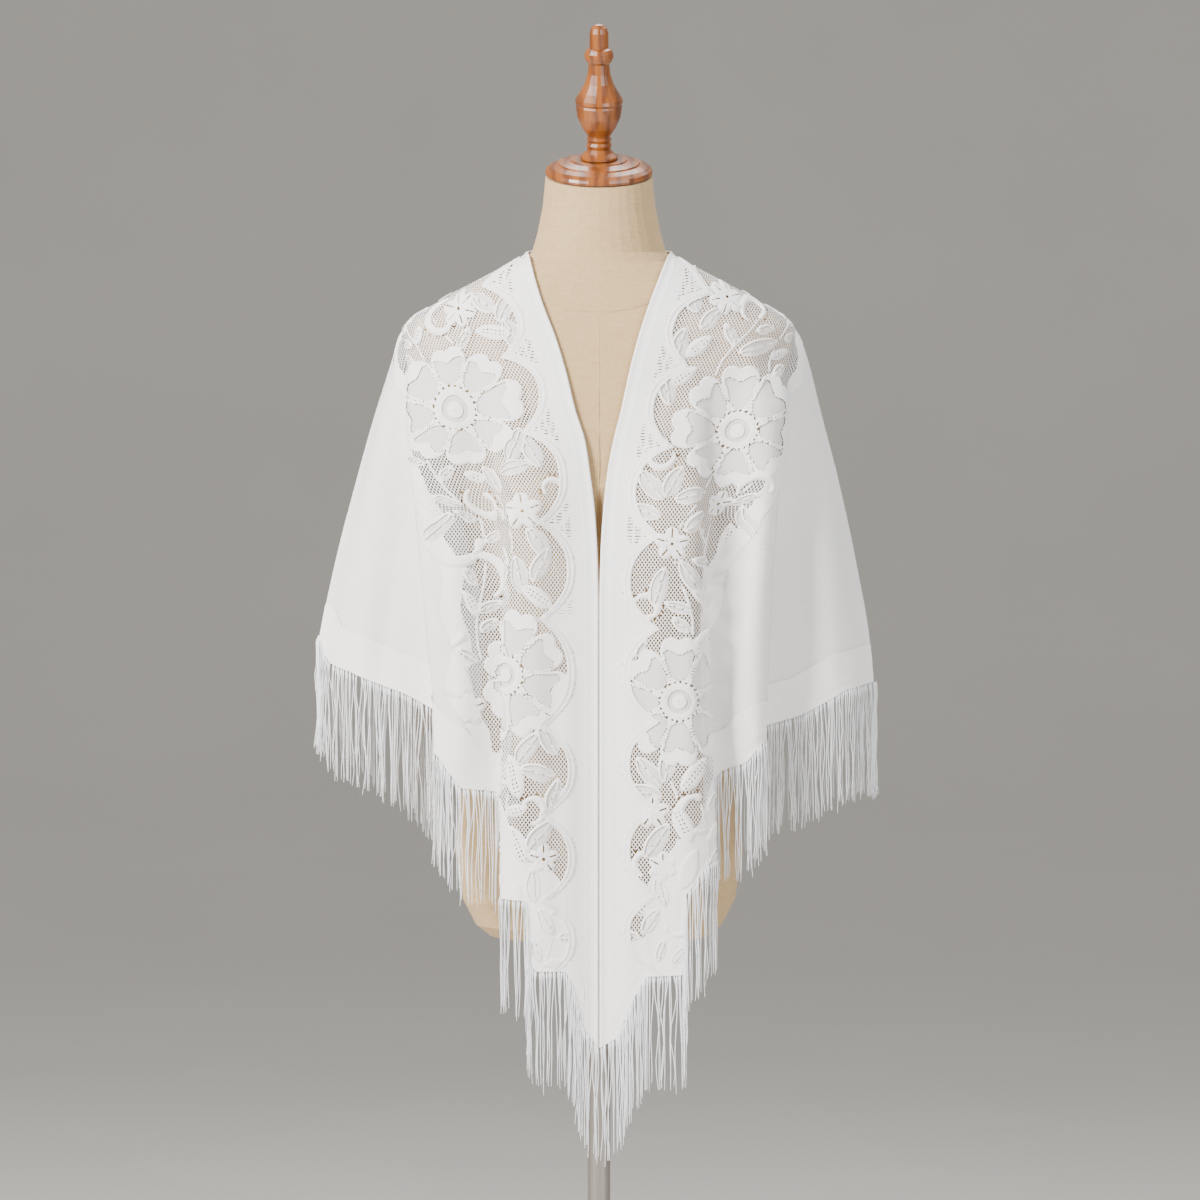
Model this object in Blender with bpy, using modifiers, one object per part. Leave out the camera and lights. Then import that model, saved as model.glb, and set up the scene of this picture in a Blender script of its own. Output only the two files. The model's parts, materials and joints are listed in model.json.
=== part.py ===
"""Lace shawl on a limbless dress form stand.

Sizes are in millimetres in the tables and become metres where meshes are made. The front faces
-Y, +Z is up, and the origin lies under the middle of the base disc. Side +1 is the side at +X.
"""
import bpy
import numpy as np
from mathutils import Matrix, Vector

MM = 0.001

# Cloth and fringe sizes.
CLOTH_WALL = 1.2
CLOTH_CLEAR = 2.6
SEAM_GAP = 0.3
BAND_WIDTH = 14.0
FRONT_GAP = 0.5
FRINGE_LENGTH = 112.0
FRINGE_PITCH = 9.3
STRAND_ROOT = 2.6
STRIP_DEPTH = 5.0
STRIP_WALL = 1.6
STEEP_DROP = 1.9
HUG_SOFT = 4.0

# Stand sizes.
CAP_TILT_DEG = 18.0
CAP_SEAT_Y = 3.0
CAP_SEAT_Z = 1439.0
POLE_RADIUS = 11.5
BASE_RADIUS = 180.0
BASE_THICK = 14.0
HUB_TOP = 30.0
FORM_SIDES = 36

# Torso sections: half width, depth to the front, depth to the back, roundness and slope of the cut.
FORM_COLUMNS = ("z", "half_width", "front", "back", "power", "slope")
FORM_ROWS = (
    (661.0, 101.0, 70.0, 74.0, 2.2, 0.0),
    (664.0, 112.0, 78.0, 82.0, 2.2, 0.0),
    (675.0, 126.0, 88.0, 93.0, 2.2, 0.0),
    (700.0, 139.0, 97.0, 103.0, 2.2, 0.0),
    (750.0, 147.0, 102.0, 109.0, 2.2, 0.0),
    (800.0, 142.0, 99.0, 107.0, 2.2, 0.0),
    (850.0, 132.0, 93.0, 99.0, 2.2, 0.0),
    (900.0, 122.0, 87.0, 89.0, 2.2, 0.0),
    (955.0, 117.0, 85.0, 83.0, 2.2, 0.0),
    (1010.0, 121.0, 91.0, 83.0, 2.2, 0.0),
    (1060.0, 133.0, 104.0, 87.0, 2.2, 0.0),
    (1120.0, 149.0, 114.0, 92.0, 2.2, 0.0),
    (1180.0, 169.0, 107.0, 96.0, 2.2, 0.0),
    (1225.0, 187.0, 97.0, 96.0, 2.2, 0.0),
    (1257.0, 197.0, 89.0, 93.0, 2.2, 0.0),
    (1277.0, 197.0, 83.0, 89.0, 2.2, 0.0),
    (1292.0, 186.0, 78.0, 86.0, 2.2, 0.0),
    (1305.0, 166.0, 74.0, 83.0, 2.2, 0.0),
    (1318.0, 143.0, 70.0, 80.0, 2.2, 0.0),
    (1330.0, 121.0, 67.0, 77.0, 2.1, 0.0),
    (1341.0, 99.0, 64.0, 73.0, 2.1, 0.0),
    (1350.0, 80.5, 60.0, 68.0, 2.0, 0.02),
    (1361.0, 68.5, 57.0, 64.0, 2.0, 0.05),
    (1380.0, 63.0, 56.0, 61.0, 2.0, 0.12),
    (1408.0, 57.5, 53.0, 58.0, 2.0, 0.22),
    (1439.0, 54.5, 50.0, 56.0, 2.0, 0.325),
)
BUST_RISE = 0.15
BUST_X = 78.0
BUST_Z = 1125.0
BUST_WIDE = 44.0
BUST_HIGH = 64.0

# Inner edge of the front opening, right side: half gap of the opening against height.
OPENING_COLUMNS = ("z", "right", "left")
OPENING_ROWS = (
    (1361.0, 72.0, 72.0),
    (1333.0, 61.0, 65.0),
    (1304.0, 50.0, 56.0),
    (1270.0, 39.0, 43.0),
    (1235.0, 30.0, 32.5),
    (1198.0, 22.0, 23.5),
    (1166.0, 14.0, 13.5),
    (1133.0, 8.0, 8.5),
    (1096.0, 4.0, 4.0),
    (1053.0, 1.5, 1.5),
    (1000.0, FRONT_GAP, FRONT_GAP),
    (500.0, FRONT_GAP, FRONT_GAP),
)

# Shoulder line of the cloth, from the neck to the shoulder end, and the outer sleeve line below it.
SHOULDER_COLUMNS = ("x", "z")
SHOULDER_ROWS = ((72.0, 1360.0), (100.0, 1344.0), (146.0, 1321.0), (189.0, 1295.0), (200.0, 1284.0))
SLEEVE_COLUMNS = ("z", "right", "left")
SLEEVE_ROWS = (
    (1284.0, 200.0, 200.0),
    (1274.0, 206.0, 205.0),
    (1253.0, 213.0, 211.0),
    (1186.0, 230.0, 232.0),
    (1136.0, 243.0, 246.0),
    (1039.0, 264.0, 271.0),
    (963.0, 277.0, 286.0),
    (900.0, 282.0, 292.0),
)

# Front folds at named heights: f1 and f2 are folds, v1 and v2 the valleys tucked behind them.
FRONT_COLUMNS = ("z", "edge_y", "f1_x", "f1_y", "v1_x", "v1_y", "f2_x", "f2_y", "v2_x", "v2_y",
                 "s_x", "s_y", "folded1", "folded2")
FRONT_RIGHT = (
    (1350.0, -8.0, 104.0, -6.0, 116.0, -5.0, 172.0, -4.0, 184.0, -3.0, 196.0, -2.0, 0.0, 0.0),
    (1280.0, -50.0, 102.0, -50.0, 116.0, -46.0, 186.0, -26.0, 193.0, -20.0, 201.0, -10.0, 0.0, 0.0),
    (1200.0, -95.0, 101.0, -96.0, 113.0, -88.0, 189.0, -62.0, 190.0, -46.0, 213.0, -22.0, 0.0, 0.35),
    (1120.0, -118.0, 102.0, -118.0, 113.0, -106.0, 181.0, -86.0, 176.0, -60.0, 224.0, -32.0, 0.15, 0.8),
    (1000.0, -131.0, 108.0, -126.0, 99.0, -104.0, 173.0, -96.0, 162.0, -64.0, 239.0, -39.0, 1.0, 1.0),
    (880.0, -131.0, 113.0, -126.0, 101.0, -101.0, 167.0, -96.0, 156.0, -64.0, 250.0, -40.0, 1.0, 1.0),
    (740.0, -128.0, 117.0, -122.0, 104.0, -98.0, 164.0, -92.0, 154.0, -62.0, 258.0, -40.0, 1.0, 1.0),
    (540.0, -123.0, 118.0, -118.0, 105.0, -96.0, 164.0, -90.0, 154.0, -62.0, 262.0, -40.0, 1.0, 1.0),
)
FRONT_LEFT = (
    (1350.0, -8.0, 102.0, -6.0, 114.0, -5.0, 172.0, -4.0, 184.0, -3.0, 196.0, -2.0, 0.0, 0.0),
    (1280.0, -50.0, 98.0, -52.0, 112.0, -48.0, 190.0, -26.0, 194.0, -20.0, 201.0, -10.0, 0.0, 0.0),
    (1200.0, -95.0, 94.0, -98.0, 106.0, -90.0, 194.0, -60.0, 194.0, -44.0, 215.0, -22.0, 0.0, 0.35),
    (1120.0, -118.0, 92.0, -120.0, 104.0, -107.0, 187.0, -84.0, 181.0, -58.0, 227.0, -32.0, 0.15, 0.8),
    (1000.0, -131.0, 95.0, -128.0, 87.0, -106.0, 176.0, -95.0, 166.0, -63.0, 244.0, -39.0, 1.0, 1.0),
    (880.0, -131.0, 97.0, -128.0, 86.0, -103.0, 166.0, -96.0, 156.0, -64.0, 256.0, -40.0, 1.0, 1.0),
    (740.0, -128.0, 98.0, -124.0, 87.0, -100.0, 163.0, -92.0, 152.0, -62.0, 264.0, -40.0, 1.0, 1.0),
    (540.0, -123.0, 98.0, -120.0, 87.0, -98.0, 163.0, -90.0, 152.0, -62.0, 268.0, -40.0, 1.0, 1.0),
)

# Where the guide points of the front leave the shoulder line, as half widths.
FRONT_TOPS = (72.0, 101.0, 104.0, 107.0, 111.0, 114.0, 117.0, 166.0, 171.0, 175.0, 181.0, 186.0,
              190.0, 196.0, 200.0)
# How many columns each stretch between two guide points gets.
FRONT_SPLITS = (13, 1, 1, 1, 1, 1, 4, 1, 1, 1, 1, 1, 3, 4)

# Hem of the front: place along the folds (0 edge, 1 f1, 2 v1, 3 f2, 4 v2, 5 sleeve front, 6 outer line).
HEM_COLUMNS = ("place", "z")
HEM_RIGHT = ((0.0, 563.0), (0.145, 573.0), (0.27, 612.0), (0.37, 635.0), (0.56, 636.0), (0.672, 637.0),
             (0.69, 716.0), (0.9, 746.0), (1.0, 752.0), (2.0, 800.0), (2.3, 836.0), (2.7, 846.0),
             (3.0, 868.0), (4.0, 876.0), (4.5, 890.0), (5.0, 915.0), (5.5, 919.0), (6.0, 922.0))
HEM_LEFT = ((0.0, 563.0), (0.09, 573.0), (0.18, 588.0), (0.265, 629.0), (0.32, 640.0), (0.6, 640.0),
            (0.665, 647.0), (0.69, 710.0), (1.0, 712.0), (2.0, 780.0), (2.2, 816.0), (2.65, 820.0),
            (3.0, 856.0), (4.0, 890.0), (4.4, 912.0), (5.0, 934.0), (5.5, 941.0), (5.7, 947.0),
            (6.0, 970.0))
FRONT_COLUMN_PLACES = (0.0, 0.06, 0.12, 0.1225, 0.2, 0.27, 0.33, 0.45, 0.56, 0.665, 0.69, 0.8, 0.9)
BAND_COLUMNS = 3

# Back folds: place round the back, from the outer sleeve line (0) to the middle (7), at each height.
BACK_COLUMNS = ("z", "x1", "y1", "x2", "y2", "x3", "y3", "x4", "y4", "x5", "y5", "x6", "y6", "y7")
BACK_ROWS = (
    (1350.0, 196.0, 3.0, 182.0, 5.0, 160.0, 7.0, 128.0, 9.0, 80.0, 40.0, 40.0, 64.0, 74.0),
    (1280.0, 200.0, 14.0, 188.0, 34.0, 168.0, 56.0, 130.0, 76.0, 82.0, 90.0, 40.0, 97.0, 99.0),
    (1200.0, 214.0, 22.0, 190.0, 50.0, 168.0, 80.0, 128.0, 96.0, 84.0, 104.0, 40.0, 107.0, 108.0),
    (1100.0, 230.0, 34.0, 190.0, 62.0, 166.0, 104.0, 120.0, 102.0, 82.0, 117.0, 40.0, 107.0, 112.0),
    (960.0, 246.0, 44.0, 192.0, 70.0, 168.0, 122.0, 114.0, 104.0, 80.0, 130.0, 38.0, 111.0, 122.0),
    (800.0, 256.0, 48.0, 194.0, 74.0, 170.0, 136.0, 112.0, 114.0, 78.0, 142.0, 36.0, 117.0, 131.0),
)
BACK_TOPS = (200.0, 196.0, 184.0, 166.0, 134.0)
BACK_HEM = ((0.0, 0.0), (1.0, -6.0), (2.0, -32.0), (3.0, -66.0), (4.0, -86.0), (5.0, -124.0), (6.0, -146.0),
            (7.0, -190.0))
BACK_SPLIT = 3
RIDGE_SLANT = 0.868
NECK_BACK_RISE = 12.0
NECK_BACK_Y = 66.5
NECK_STEPS = 2 * BACK_SPLIT

FOLD_NOSE = 5.0
OPEN_STEP = 2.5
BLEND_DROP = 75.0
FRONT_ROW_COUNT = 22
BACK_ROW_COUNT = 17
ROW_EASE = 1.7


def clear_scene():
    """Remove every object of the start-up scene."""
    for obj in list(bpy.data.objects):
        bpy.data.objects.remove(obj, do_unlink=True)


def column(rows, names, name):
    """Return one named column of a table as an array."""
    return np.array([row[names.index(name)] for row in rows])


def slopes(xs, ys):
    """Slopes of a smooth curve through points, flat at its turning points."""
    step = np.diff(xs)
    rise = np.diff(ys) / step
    out = np.zeros(len(xs))
    out[0] = rise[0]
    out[-1] = rise[-1]
    for k in range(1, len(xs) - 1):
        if rise[k - 1] * rise[k] > 0:
            w1 = 2 * step[k] + step[k - 1]
            w2 = step[k] + 2 * step[k - 1]
            out[k] = (w1 + w2) / (w1 / rise[k - 1] + w2 / rise[k])
    return out


def smooth_read(xs, ys, x):
    """Read a smooth curve, through rising xs, at x (held level past its ends)."""
    m = slopes(xs, ys)
    x = np.clip(x, xs[0], xs[-1])
    k = np.clip(np.searchsorted(xs, x, side="right") - 1, 0, len(xs) - 2)
    h = xs[k + 1] - xs[k]
    t = (x - xs[k]) / h
    a = (1 + 2 * t) * (1 - t) ** 2 * ys[k]
    b = t * (1 - t) ** 2 * h * m[k]
    c = t * t * (3 - 2 * t) * ys[k + 1]
    d = t * t * (t - 1) * h * m[k + 1]
    return a + b + c + d


def read_table(rows, names, name, z):
    """Read a named column of a table of heights at height z, whichever way its heights run."""
    zs = column(rows, names, "z")
    vs = column(rows, names, name)
    order = np.argsort(zs)
    return smooth_read(zs[order], vs[order], z)


def ease(t):
    """Smooth step from 0 to 1."""
    t = np.clip(t, 0.0, 1.0)
    return t * t * (3 - 2 * t)


def bust_gain(x, z):
    """How much further forward the chest stands at a point."""
    across = np.exp(-((np.abs(x) - BUST_X) / BUST_WIDE) ** 2)
    up = np.exp(-((z - BUST_Z) / BUST_HIGH) ** 2)
    return 1.0 + BUST_RISE * across * up


def form_level(p, grow):
    """Below zero inside the form grown by some millimetres, above zero outside it."""
    x, y, z = p[..., 0], p[..., 1], p[..., 2]
    zz = np.clip(z - grow, FORM_ROWS[0][0], FORM_ROWS[-1][0])
    wide = read_table(FORM_ROWS, FORM_COLUMNS, "half_width", zz) + grow
    front = read_table(FORM_ROWS, FORM_COLUMNS, "front", zz) * bust_gain(x, zz) + grow
    back = read_table(FORM_ROWS, FORM_COLUMNS, "back", zz) + grow
    power = read_table(FORM_ROWS, FORM_COLUMNS, "power", zz)
    deep = np.where(y < 0, front, back)
    radius = (np.abs(x / wide) ** power + np.abs(y / deep) ** power) ** (1 / power)
    return (radius - 1.0) * np.minimum(wide, deep)


def push_clear(p, grow):
    """Move points that lie inside the grown form out to its surface."""
    p = p.copy()
    for _ in range(7):
        level = form_level(p, grow)
        grad = np.zeros_like(p)
        for axis in range(3):
            q = p.copy()
            q[..., axis] += 0.5
            grad[..., axis] = (form_level(q, grow) - level) / 0.5
        size = np.maximum((grad ** 2).sum(-1), 0.05)
        move = np.where(level < 0, -level / size, 0.0)
        move = np.minimum(move, 12.0)
        p += grad * move[..., None]
    return p


def plan_curve(points, splits):
    """Smooth curve through plan points, with a set number of columns in each stretch."""
    chord = np.maximum(np.sqrt((np.diff(points, axis=0) ** 2).sum(1)), 1e-6)
    s = np.concatenate([[0.0], np.cumsum(chord)])
    m = np.zeros_like(points)
    for k in range(1, len(points) - 1):
        before = (points[k] - points[k - 1]) / chord[k - 1]
        after = (points[k + 1] - points[k]) / chord[k]
        m[k] = (before * chord[k] + after * chord[k - 1]) / (chord[k] + chord[k - 1])
    m[0] = (points[1] - points[0]) / chord[0]
    m[-1] = (points[-1] - points[-2]) / chord[-1]
    out = []
    for k, fractions in enumerate(splits):
        h = s[k + 1] - s[k]
        for t in fractions:
            a = (1 + 2 * t) * (1 - t) ** 2 * points[k]
            b = t * (1 - t) ** 2 * h * m[k]
            c = t * t * (3 - 2 * t) * points[k + 1]
            d = t * t * (t - 1) * h * m[k + 1]
            out.append(a + b + c + d)
    out.append(points[-1])
    return np.array(out)


def front_places():
    """Fractions inside each stretch of the front, and the place number of each column."""
    marks = (0.0, 0.95, 1.0, 1.05, 1.95, 2.0, 2.05, 2.95, 3.0, 3.05, 3.95, 4.0, 4.05, 5.0, 6.0)
    fractions = []
    places = []
    for k, count in enumerate(FRONT_SPLITS):
        if k == 0:
            inner = [p / 0.95 for p in FRONT_COLUMN_PLACES]
        else:
            inner = [i / count for i in range(count)]
        fractions.append(inner)
        places += [marks[k] + (marks[k + 1] - marks[k]) * f for f in inner]
    places.append(6.0)
    return fractions, np.array(places)


def front_section(z, side):
    """Guide points of the front's plan at height z: edge, folds with round noses, valleys, sleeve."""
    rows = FRONT_RIGHT if side > 0 else FRONT_LEFT
    which = "right" if side > 0 else "left"
    v = {name: read_table(rows, FRONT_COLUMNS, name, z) for name in FRONT_COLUMNS[1:]}
    edge_x = read_table(OPENING_ROWS, OPENING_COLUMNS, which, z)
    outer_x = read_table(SLEEVE_ROWS, SLEEVE_COLUMNS, which, z)
    points = [(edge_x, v["edge_y"])]
    for fold, valley, folded in (("f1", "v1", "folded1"), ("f2", "v2", "folded2")):
        back_step = OPEN_STEP + (-FOLD_NOSE - OPEN_STEP) * v[folded]
        side_step = OPEN_STEP / 2 + (FOLD_NOSE - OPEN_STEP / 2) * v[folded]
        fx, fy = v[fold + "_x"], v[fold + "_y"]
        vx, vy = v[valley + "_x"], v[valley + "_y"]
        points.append((fx - abs(back_step), fy - side_step))
        points.append((fx, fy))
        points.append((fx + back_step, fy + side_step))
        points.append((vx - back_step * 0.6, vy - side_step * 0.6))
        points.append((vx, vy))
        points.append((vx + abs(back_step) * 0.8, vy + side_step * 0.5))
    points.append((v["s_x"], v["s_y"]))
    points.append((outer_x, 0.0))
    return np.array(points)


def lay_first_stretch(curve, section, is_top):
    """Place the columns between the edge and the first fold: band, seam gap, then even shares."""
    count = FRONT_SPLITS[0]
    edge = section[0]
    end = section[1]
    dense = plan_curve(section, [[i / 24 for i in range(25)]] + [[] for _ in FRONT_SPLITS[1:]])
    dense = dense[:-1]
    slant = RIDGE_SLANT if is_top else 1.0
    start = (BAND_WIDTH + SEAM_GAP) * slant
    places = FRONT_COLUMN_PLACES
    for j in range(count):
        if j <= BAND_COLUMNS:
            across = (0.0, BAND_WIDTH / 2, BAND_WIDTH, BAND_WIDTH + SEAM_GAP)[j] * slant
        else:
            share = (places[j] - places[BAND_COLUMNS]) / (0.95 - places[BAND_COLUMNS])
            across = start + (end[0] - edge[0] - start) * share
        curve[j, 0] = edge[0] + across
        curve[j, 1] = np.interp(curve[j, 0], dense[:, 0], dense[:, 1])
    return curve


def hug(p, grow, side_y):
    """Bring points that lie over the form out to its grown surface, to the front or to the back."""
    x, z = np.abs(p[..., 0]), p[..., 2]
    zz = np.clip(z - grow, FORM_ROWS[0][0], FORM_ROWS[-1][0])
    wide = read_table(FORM_ROWS, FORM_COLUMNS, "half_width", zz) + grow
    name = "front" if side_y < 0 else "back"
    deep = read_table(FORM_ROWS, FORM_COLUMNS, name, zz)
    if side_y < 0:
        deep = deep * bust_gain(x, zz)
    deep = deep + grow
    power = read_table(FORM_ROWS, FORM_COLUMNS, "power", zz)
    inside = np.clip(1.0 - (x / wide) ** power, 0.0, 1.0)
    surface = deep * inside ** (1 / power)
    p = p.copy()
    away = p[..., 1] * side_y
    high = np.maximum(away, surface)
    low = np.minimum(away, surface)
    soft = np.where(surface > 20.0, HUG_SOFT, HUG_SOFT * surface / 20.0)
    blend = soft * np.log1p(np.exp(-(high - low) / np.maximum(soft, 0.05)))
    p[..., 1] = side_y * (high + blend)
    return p


def shoulder_z(x):
    """Height of the cloth's shoulder line at half width x."""
    xs = column(SHOULDER_ROWS, SHOULDER_COLUMNS, "x")
    zs = column(SHOULDER_ROWS, SHOULDER_COLUMNS, "z")
    return np.interp(x, xs, zs)


def front_grid(side):
    """Middle surface of one front, rows from the shoulder down and columns from the edge outwards."""
    fractions, places = front_places()
    hem_rows = HEM_RIGHT if side > 0 else HEM_LEFT
    hem_place = column(hem_rows, HEM_COLUMNS, "place")
    hem_z = np.interp(places, hem_place, column(hem_rows, HEM_COLUMNS, "z"))
    ridge = np.array([(x, 0.0) for x in FRONT_TOPS])
    tops = lay_first_stretch(plan_curve(ridge, fractions), ridge, True)[:, 0]
    top_z = shoulder_z(tops)
    count = len(places)
    grid = np.zeros((FRONT_ROW_COUNT + 1, count, 3))
    levels = np.arange(540.0, 1366.0, 5.0)
    sections = []
    for z in levels:
        section = front_section(z, side)
        sections.append(lay_first_stretch(plan_curve(section, fractions), section, False))
    sections = np.array(sections)
    for j in range(count):
        t = (np.arange(FRONT_ROW_COUNT + 1) / FRONT_ROW_COUNT) ** ROW_EASE
        z = top_z[j] + (hem_z[j] - top_z[j]) * t
        x = np.interp(z, levels, sections[:, j, 0])
        y = np.interp(z, levels, sections[:, j, 1])
        drop = BLEND_DROP * np.clip((6.0 - places[j]) / 3.0, 0.02, 1.0)
        near_edge = np.clip(1.0 - (places[j] - 0.122) / 0.5, 0.0, 1.0)
        x = tops[j] + (x - tops[j]) * np.maximum(ease((top_z[j] - z) / drop), near_edge)
        x[0] = tops[j]
        y = y * ease((top_z[j] - z) / 30.0)
        grid[:, j, 0] = x * side
        grid[:, j, 1] = y
        grid[:, j, 2] = z
    grid = hug(grid, CLOTH_CLEAR + CLOTH_WALL / 2, -1)
    grid[0, :, 1] = 0.0
    return grid, places


def back_half(side, hem_top):
    """Middle surface of half the back, columns from the outer sleeve line to the middle."""
    which = "right" if side > 0 else "left"
    stretch = [i / BACK_SPLIT for i in range(BACK_SPLIT)]
    fractions = [stretch] * 7
    places = np.linspace(0, 7, 7 * BACK_SPLIT + 1)
    hem = column(BACK_HEM, HEM_COLUMNS, "place")
    hem_z = hem_top + np.interp(places, hem, column(BACK_HEM, HEM_COLUMNS, "z"))
    hem_z = hem_z + (922.0 - hem_top) * np.clip(places / 2, 0, 1)
    tops = []
    for x in BACK_TOPS:
        tops.append((x, 0.0, float(shoulder_z(x))))
    for angle in (0.0, 45.0, 90.0):
        tops.append(tuple(neck_point(angle, BAND_WIDTH + SEAM_GAP)))
    tops = plan_curve(np.array(tops), fractions)
    for step in range(NECK_STEPS + 1):
        tops[len(tops) - 1 - NECK_STEPS + step] = neck_point(90.0 * step / NECK_STEPS, BAND_WIDTH + SEAM_GAP)
    levels = np.arange(700.0, 1366.0, 5.0)
    sections = []
    for z in levels:
        points = [(read_table(SLEEVE_ROWS, SLEEVE_COLUMNS, which, z), 0.0)]
        for k in range(1, 7):
            px = read_table(BACK_ROWS, BACK_COLUMNS, "x%d" % k, z)
            py = read_table(BACK_ROWS, BACK_COLUMNS, "y%d" % k, z)
            points.append((px, py))
        points.append((0.0, read_table(BACK_ROWS, BACK_COLUMNS, "y7", z)))
        sections.append(plan_curve(np.array(points), fractions))
    sections = np.array(sections)
    count = len(places)
    grid = np.zeros((BACK_ROW_COUNT + 1, count, 3))
    for j in range(count):
        t = (np.arange(BACK_ROW_COUNT + 1) / BACK_ROW_COUNT) ** ROW_EASE
        z = tops[j, 2] + (hem_z[j] - tops[j, 2]) * t
        x = np.interp(z, levels, sections[:, j, 0])
        y = np.interp(z, levels, sections[:, j, 1])
        drop = BLEND_DROP * np.clip(places[j] / 3.0, 0.02, 1.0)
        x = tops[j, 0] + (x - tops[j, 0]) * ease((tops[j, 2] - z) / drop)
        y = tops[j, 1] + (y - tops[j, 1]) * ease((tops[j, 2] - z) / 40.0)
        grid[:, j, 0] = x * side
        grid[:, j, 1] = y
        grid[:, j, 2] = z
    grid = hug(grid, CLOTH_CLEAR + CLOTH_WALL / 2, 1)
    ridge = places <= 5.0
    grid[0, ridge, 1] = 0.0
    for step in range(NECK_STEPS + 1):
        point = neck_point(90.0 * step / NECK_STEPS, BAND_WIDTH + SEAM_GAP)
        grid[0, count - 1 - NECK_STEPS + step] = point * np.array((side, 1.0, 1.0))
    return grid, places


def unit(v):
    """Vectors made one long."""
    size = np.sqrt((v ** 2).sum(-1, keepdims=True))
    return v / np.maximum(size, 1e-9)


def grid_normals(grid, flip):
    """Outward direction at each point of a middle surface."""
    down = np.gradient(grid, axis=0)
    across = np.gradient(grid, axis=1)
    return unit(np.cross(down, across)) * flip


def add_mesh(name, verts, faces, material, collection):
    """Make a mesh object from millimetre points, with its faces turned outwards."""
    mesh = bpy.data.meshes.new(name)
    mesh.from_pydata([Vector(v) * MM for v in verts], [], faces)
    mesh.update()
    volume = 0.0
    for poly in mesh.polygons:
        ring = [mesh.vertices[i].co for i in poly.vertices]
        for k in range(1, len(ring) - 1):
            volume += ring[0].dot(ring[k].cross(ring[k + 1]))
    if volume < 0:
        mesh.flip_normals()
    obj = bpy.data.objects.new(name, mesh)
    mesh.materials.append(material)
    collection.objects.link(obj)
    return obj


def wall(name, grid, normals, keep_side, material, collection):
    """Closed wall of even thickness round a middle surface, kept before or behind the seam plane."""
    rows, cols = grid.shape[:2]
    outer = (grid + normals * CLOTH_WALL / 2).reshape(-1, 3)
    inner = (grid - normals * CLOTH_WALL / 2).reshape(-1, 3)
    verts = np.concatenate([outer, inner])
    if keep_side < 0:
        verts[:, 1] = np.minimum(verts[:, 1], -SEAM_GAP / 2)
    if keep_side > 0:
        verts[:, 1] = np.maximum(verts[:, 1], SEAM_GAP / 2)
    half = rows * cols
    faces = []
    for i in range(rows - 1):
        for j in range(cols - 1):
            a = i * cols + j
            b = a + 1
            c = a + cols + 1
            d = a + cols
            cut = grid[i, j] - grid[i + 1, j + 1]
            other = grid[i, j + 1] - grid[i + 1, j]
            if (cut ** 2).sum() <= (other ** 2).sum():
                pair = ((a, b, c), (a, c, d))
            else:
                pair = ((a, b, d), (b, c, d))
            for tri in pair:
                faces.append(tri)
                faces.append((tri[2] + half, tri[1] + half, tri[0] + half))
    rim = [j for j in range(cols)]
    rim += [i * cols + cols - 1 for i in range(1, rows)]
    rim += [(rows - 1) * cols + j for j in range(cols - 2, -1, -1)]
    rim += [i * cols for i in range(rows - 2, 0, -1)]
    for k in range(len(rim)):
        a = rim[k]
        b = rim[(k + 1) % len(rim)]
        faces.append((b, a, a + half, b + half))
    return add_mesh(name, verts, faces, material, collection)


def make_material(name, colour, roughness, metallic=0.0):
    """Plain Principled material."""
    mat = bpy.data.materials.new(name)
    mat.use_nodes = True
    shader = mat.node_tree.nodes["Principled BSDF"]
    shader.inputs["Base Color"].default_value = (*colour, 1.0)
    shader.inputs["Roughness"].default_value = roughness
    shader.inputs["Metallic"].default_value = metallic
    mat.diffuse_color = (*colour, 1.0)
    return mat


def make_collection(name):
    """Collection that holds the object."""
    coll = bpy.data.collections.new(name)
    bpy.context.scene.collection.children.link(coll)
    return coll


def neck_point(angle, out):
    """Point round the back of the neck, some millimetres out from the shawl's inner edge."""
    c = np.cos(np.radians(angle))
    s = np.sin(np.radians(angle))
    inner = np.array((72.0 * c, NECK_BACK_Y * s, float(shoulder_z(72.0)) + NECK_BACK_RISE * s))
    slant = np.array((0.868 * c, 0.37 * s, -0.497 * c - 0.93 * s))
    point = inner + slant / np.sqrt((slant ** 2).sum()) * out
    return push_clear(point, CLOTH_CLEAR + CLOTH_WALL / 2) if angle > 0 else point


def neck_normal(angle):
    """Outward direction of the shawl round the back of the neck."""
    c = np.cos(np.radians(angle))
    s = np.sin(np.radians(angle))
    slant = np.array((0.868 * c, 0.37 * s, -0.497 * c - 0.93 * s))
    along = np.array((-72.0 * s, NECK_BACK_Y * c, NECK_BACK_RISE * c))
    normal = np.cross(slant, along)
    return normal / np.sqrt((normal ** 2).sum())


def neck_band(side):
    """Band round the back of the neck, rows from the middle to the side."""
    rows = []
    normals = []
    for angle in np.linspace(90.0, 90.0 / NECK_STEPS, NECK_STEPS):
        rows.append([neck_point(angle, out) for out in (0.0, BAND_WIDTH / 2, BAND_WIDTH)])
        normals.append([neck_normal(angle)] * 3)
    grid = np.array(rows)
    normals = np.array(normals)
    normals[..., 0] *= side
    normals[0, :, 0] = 0.0
    grid[..., 0] *= side
    grid[0, :, 0] = SEAM_GAP / 2 * side
    return grid, unit(normals)


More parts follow.
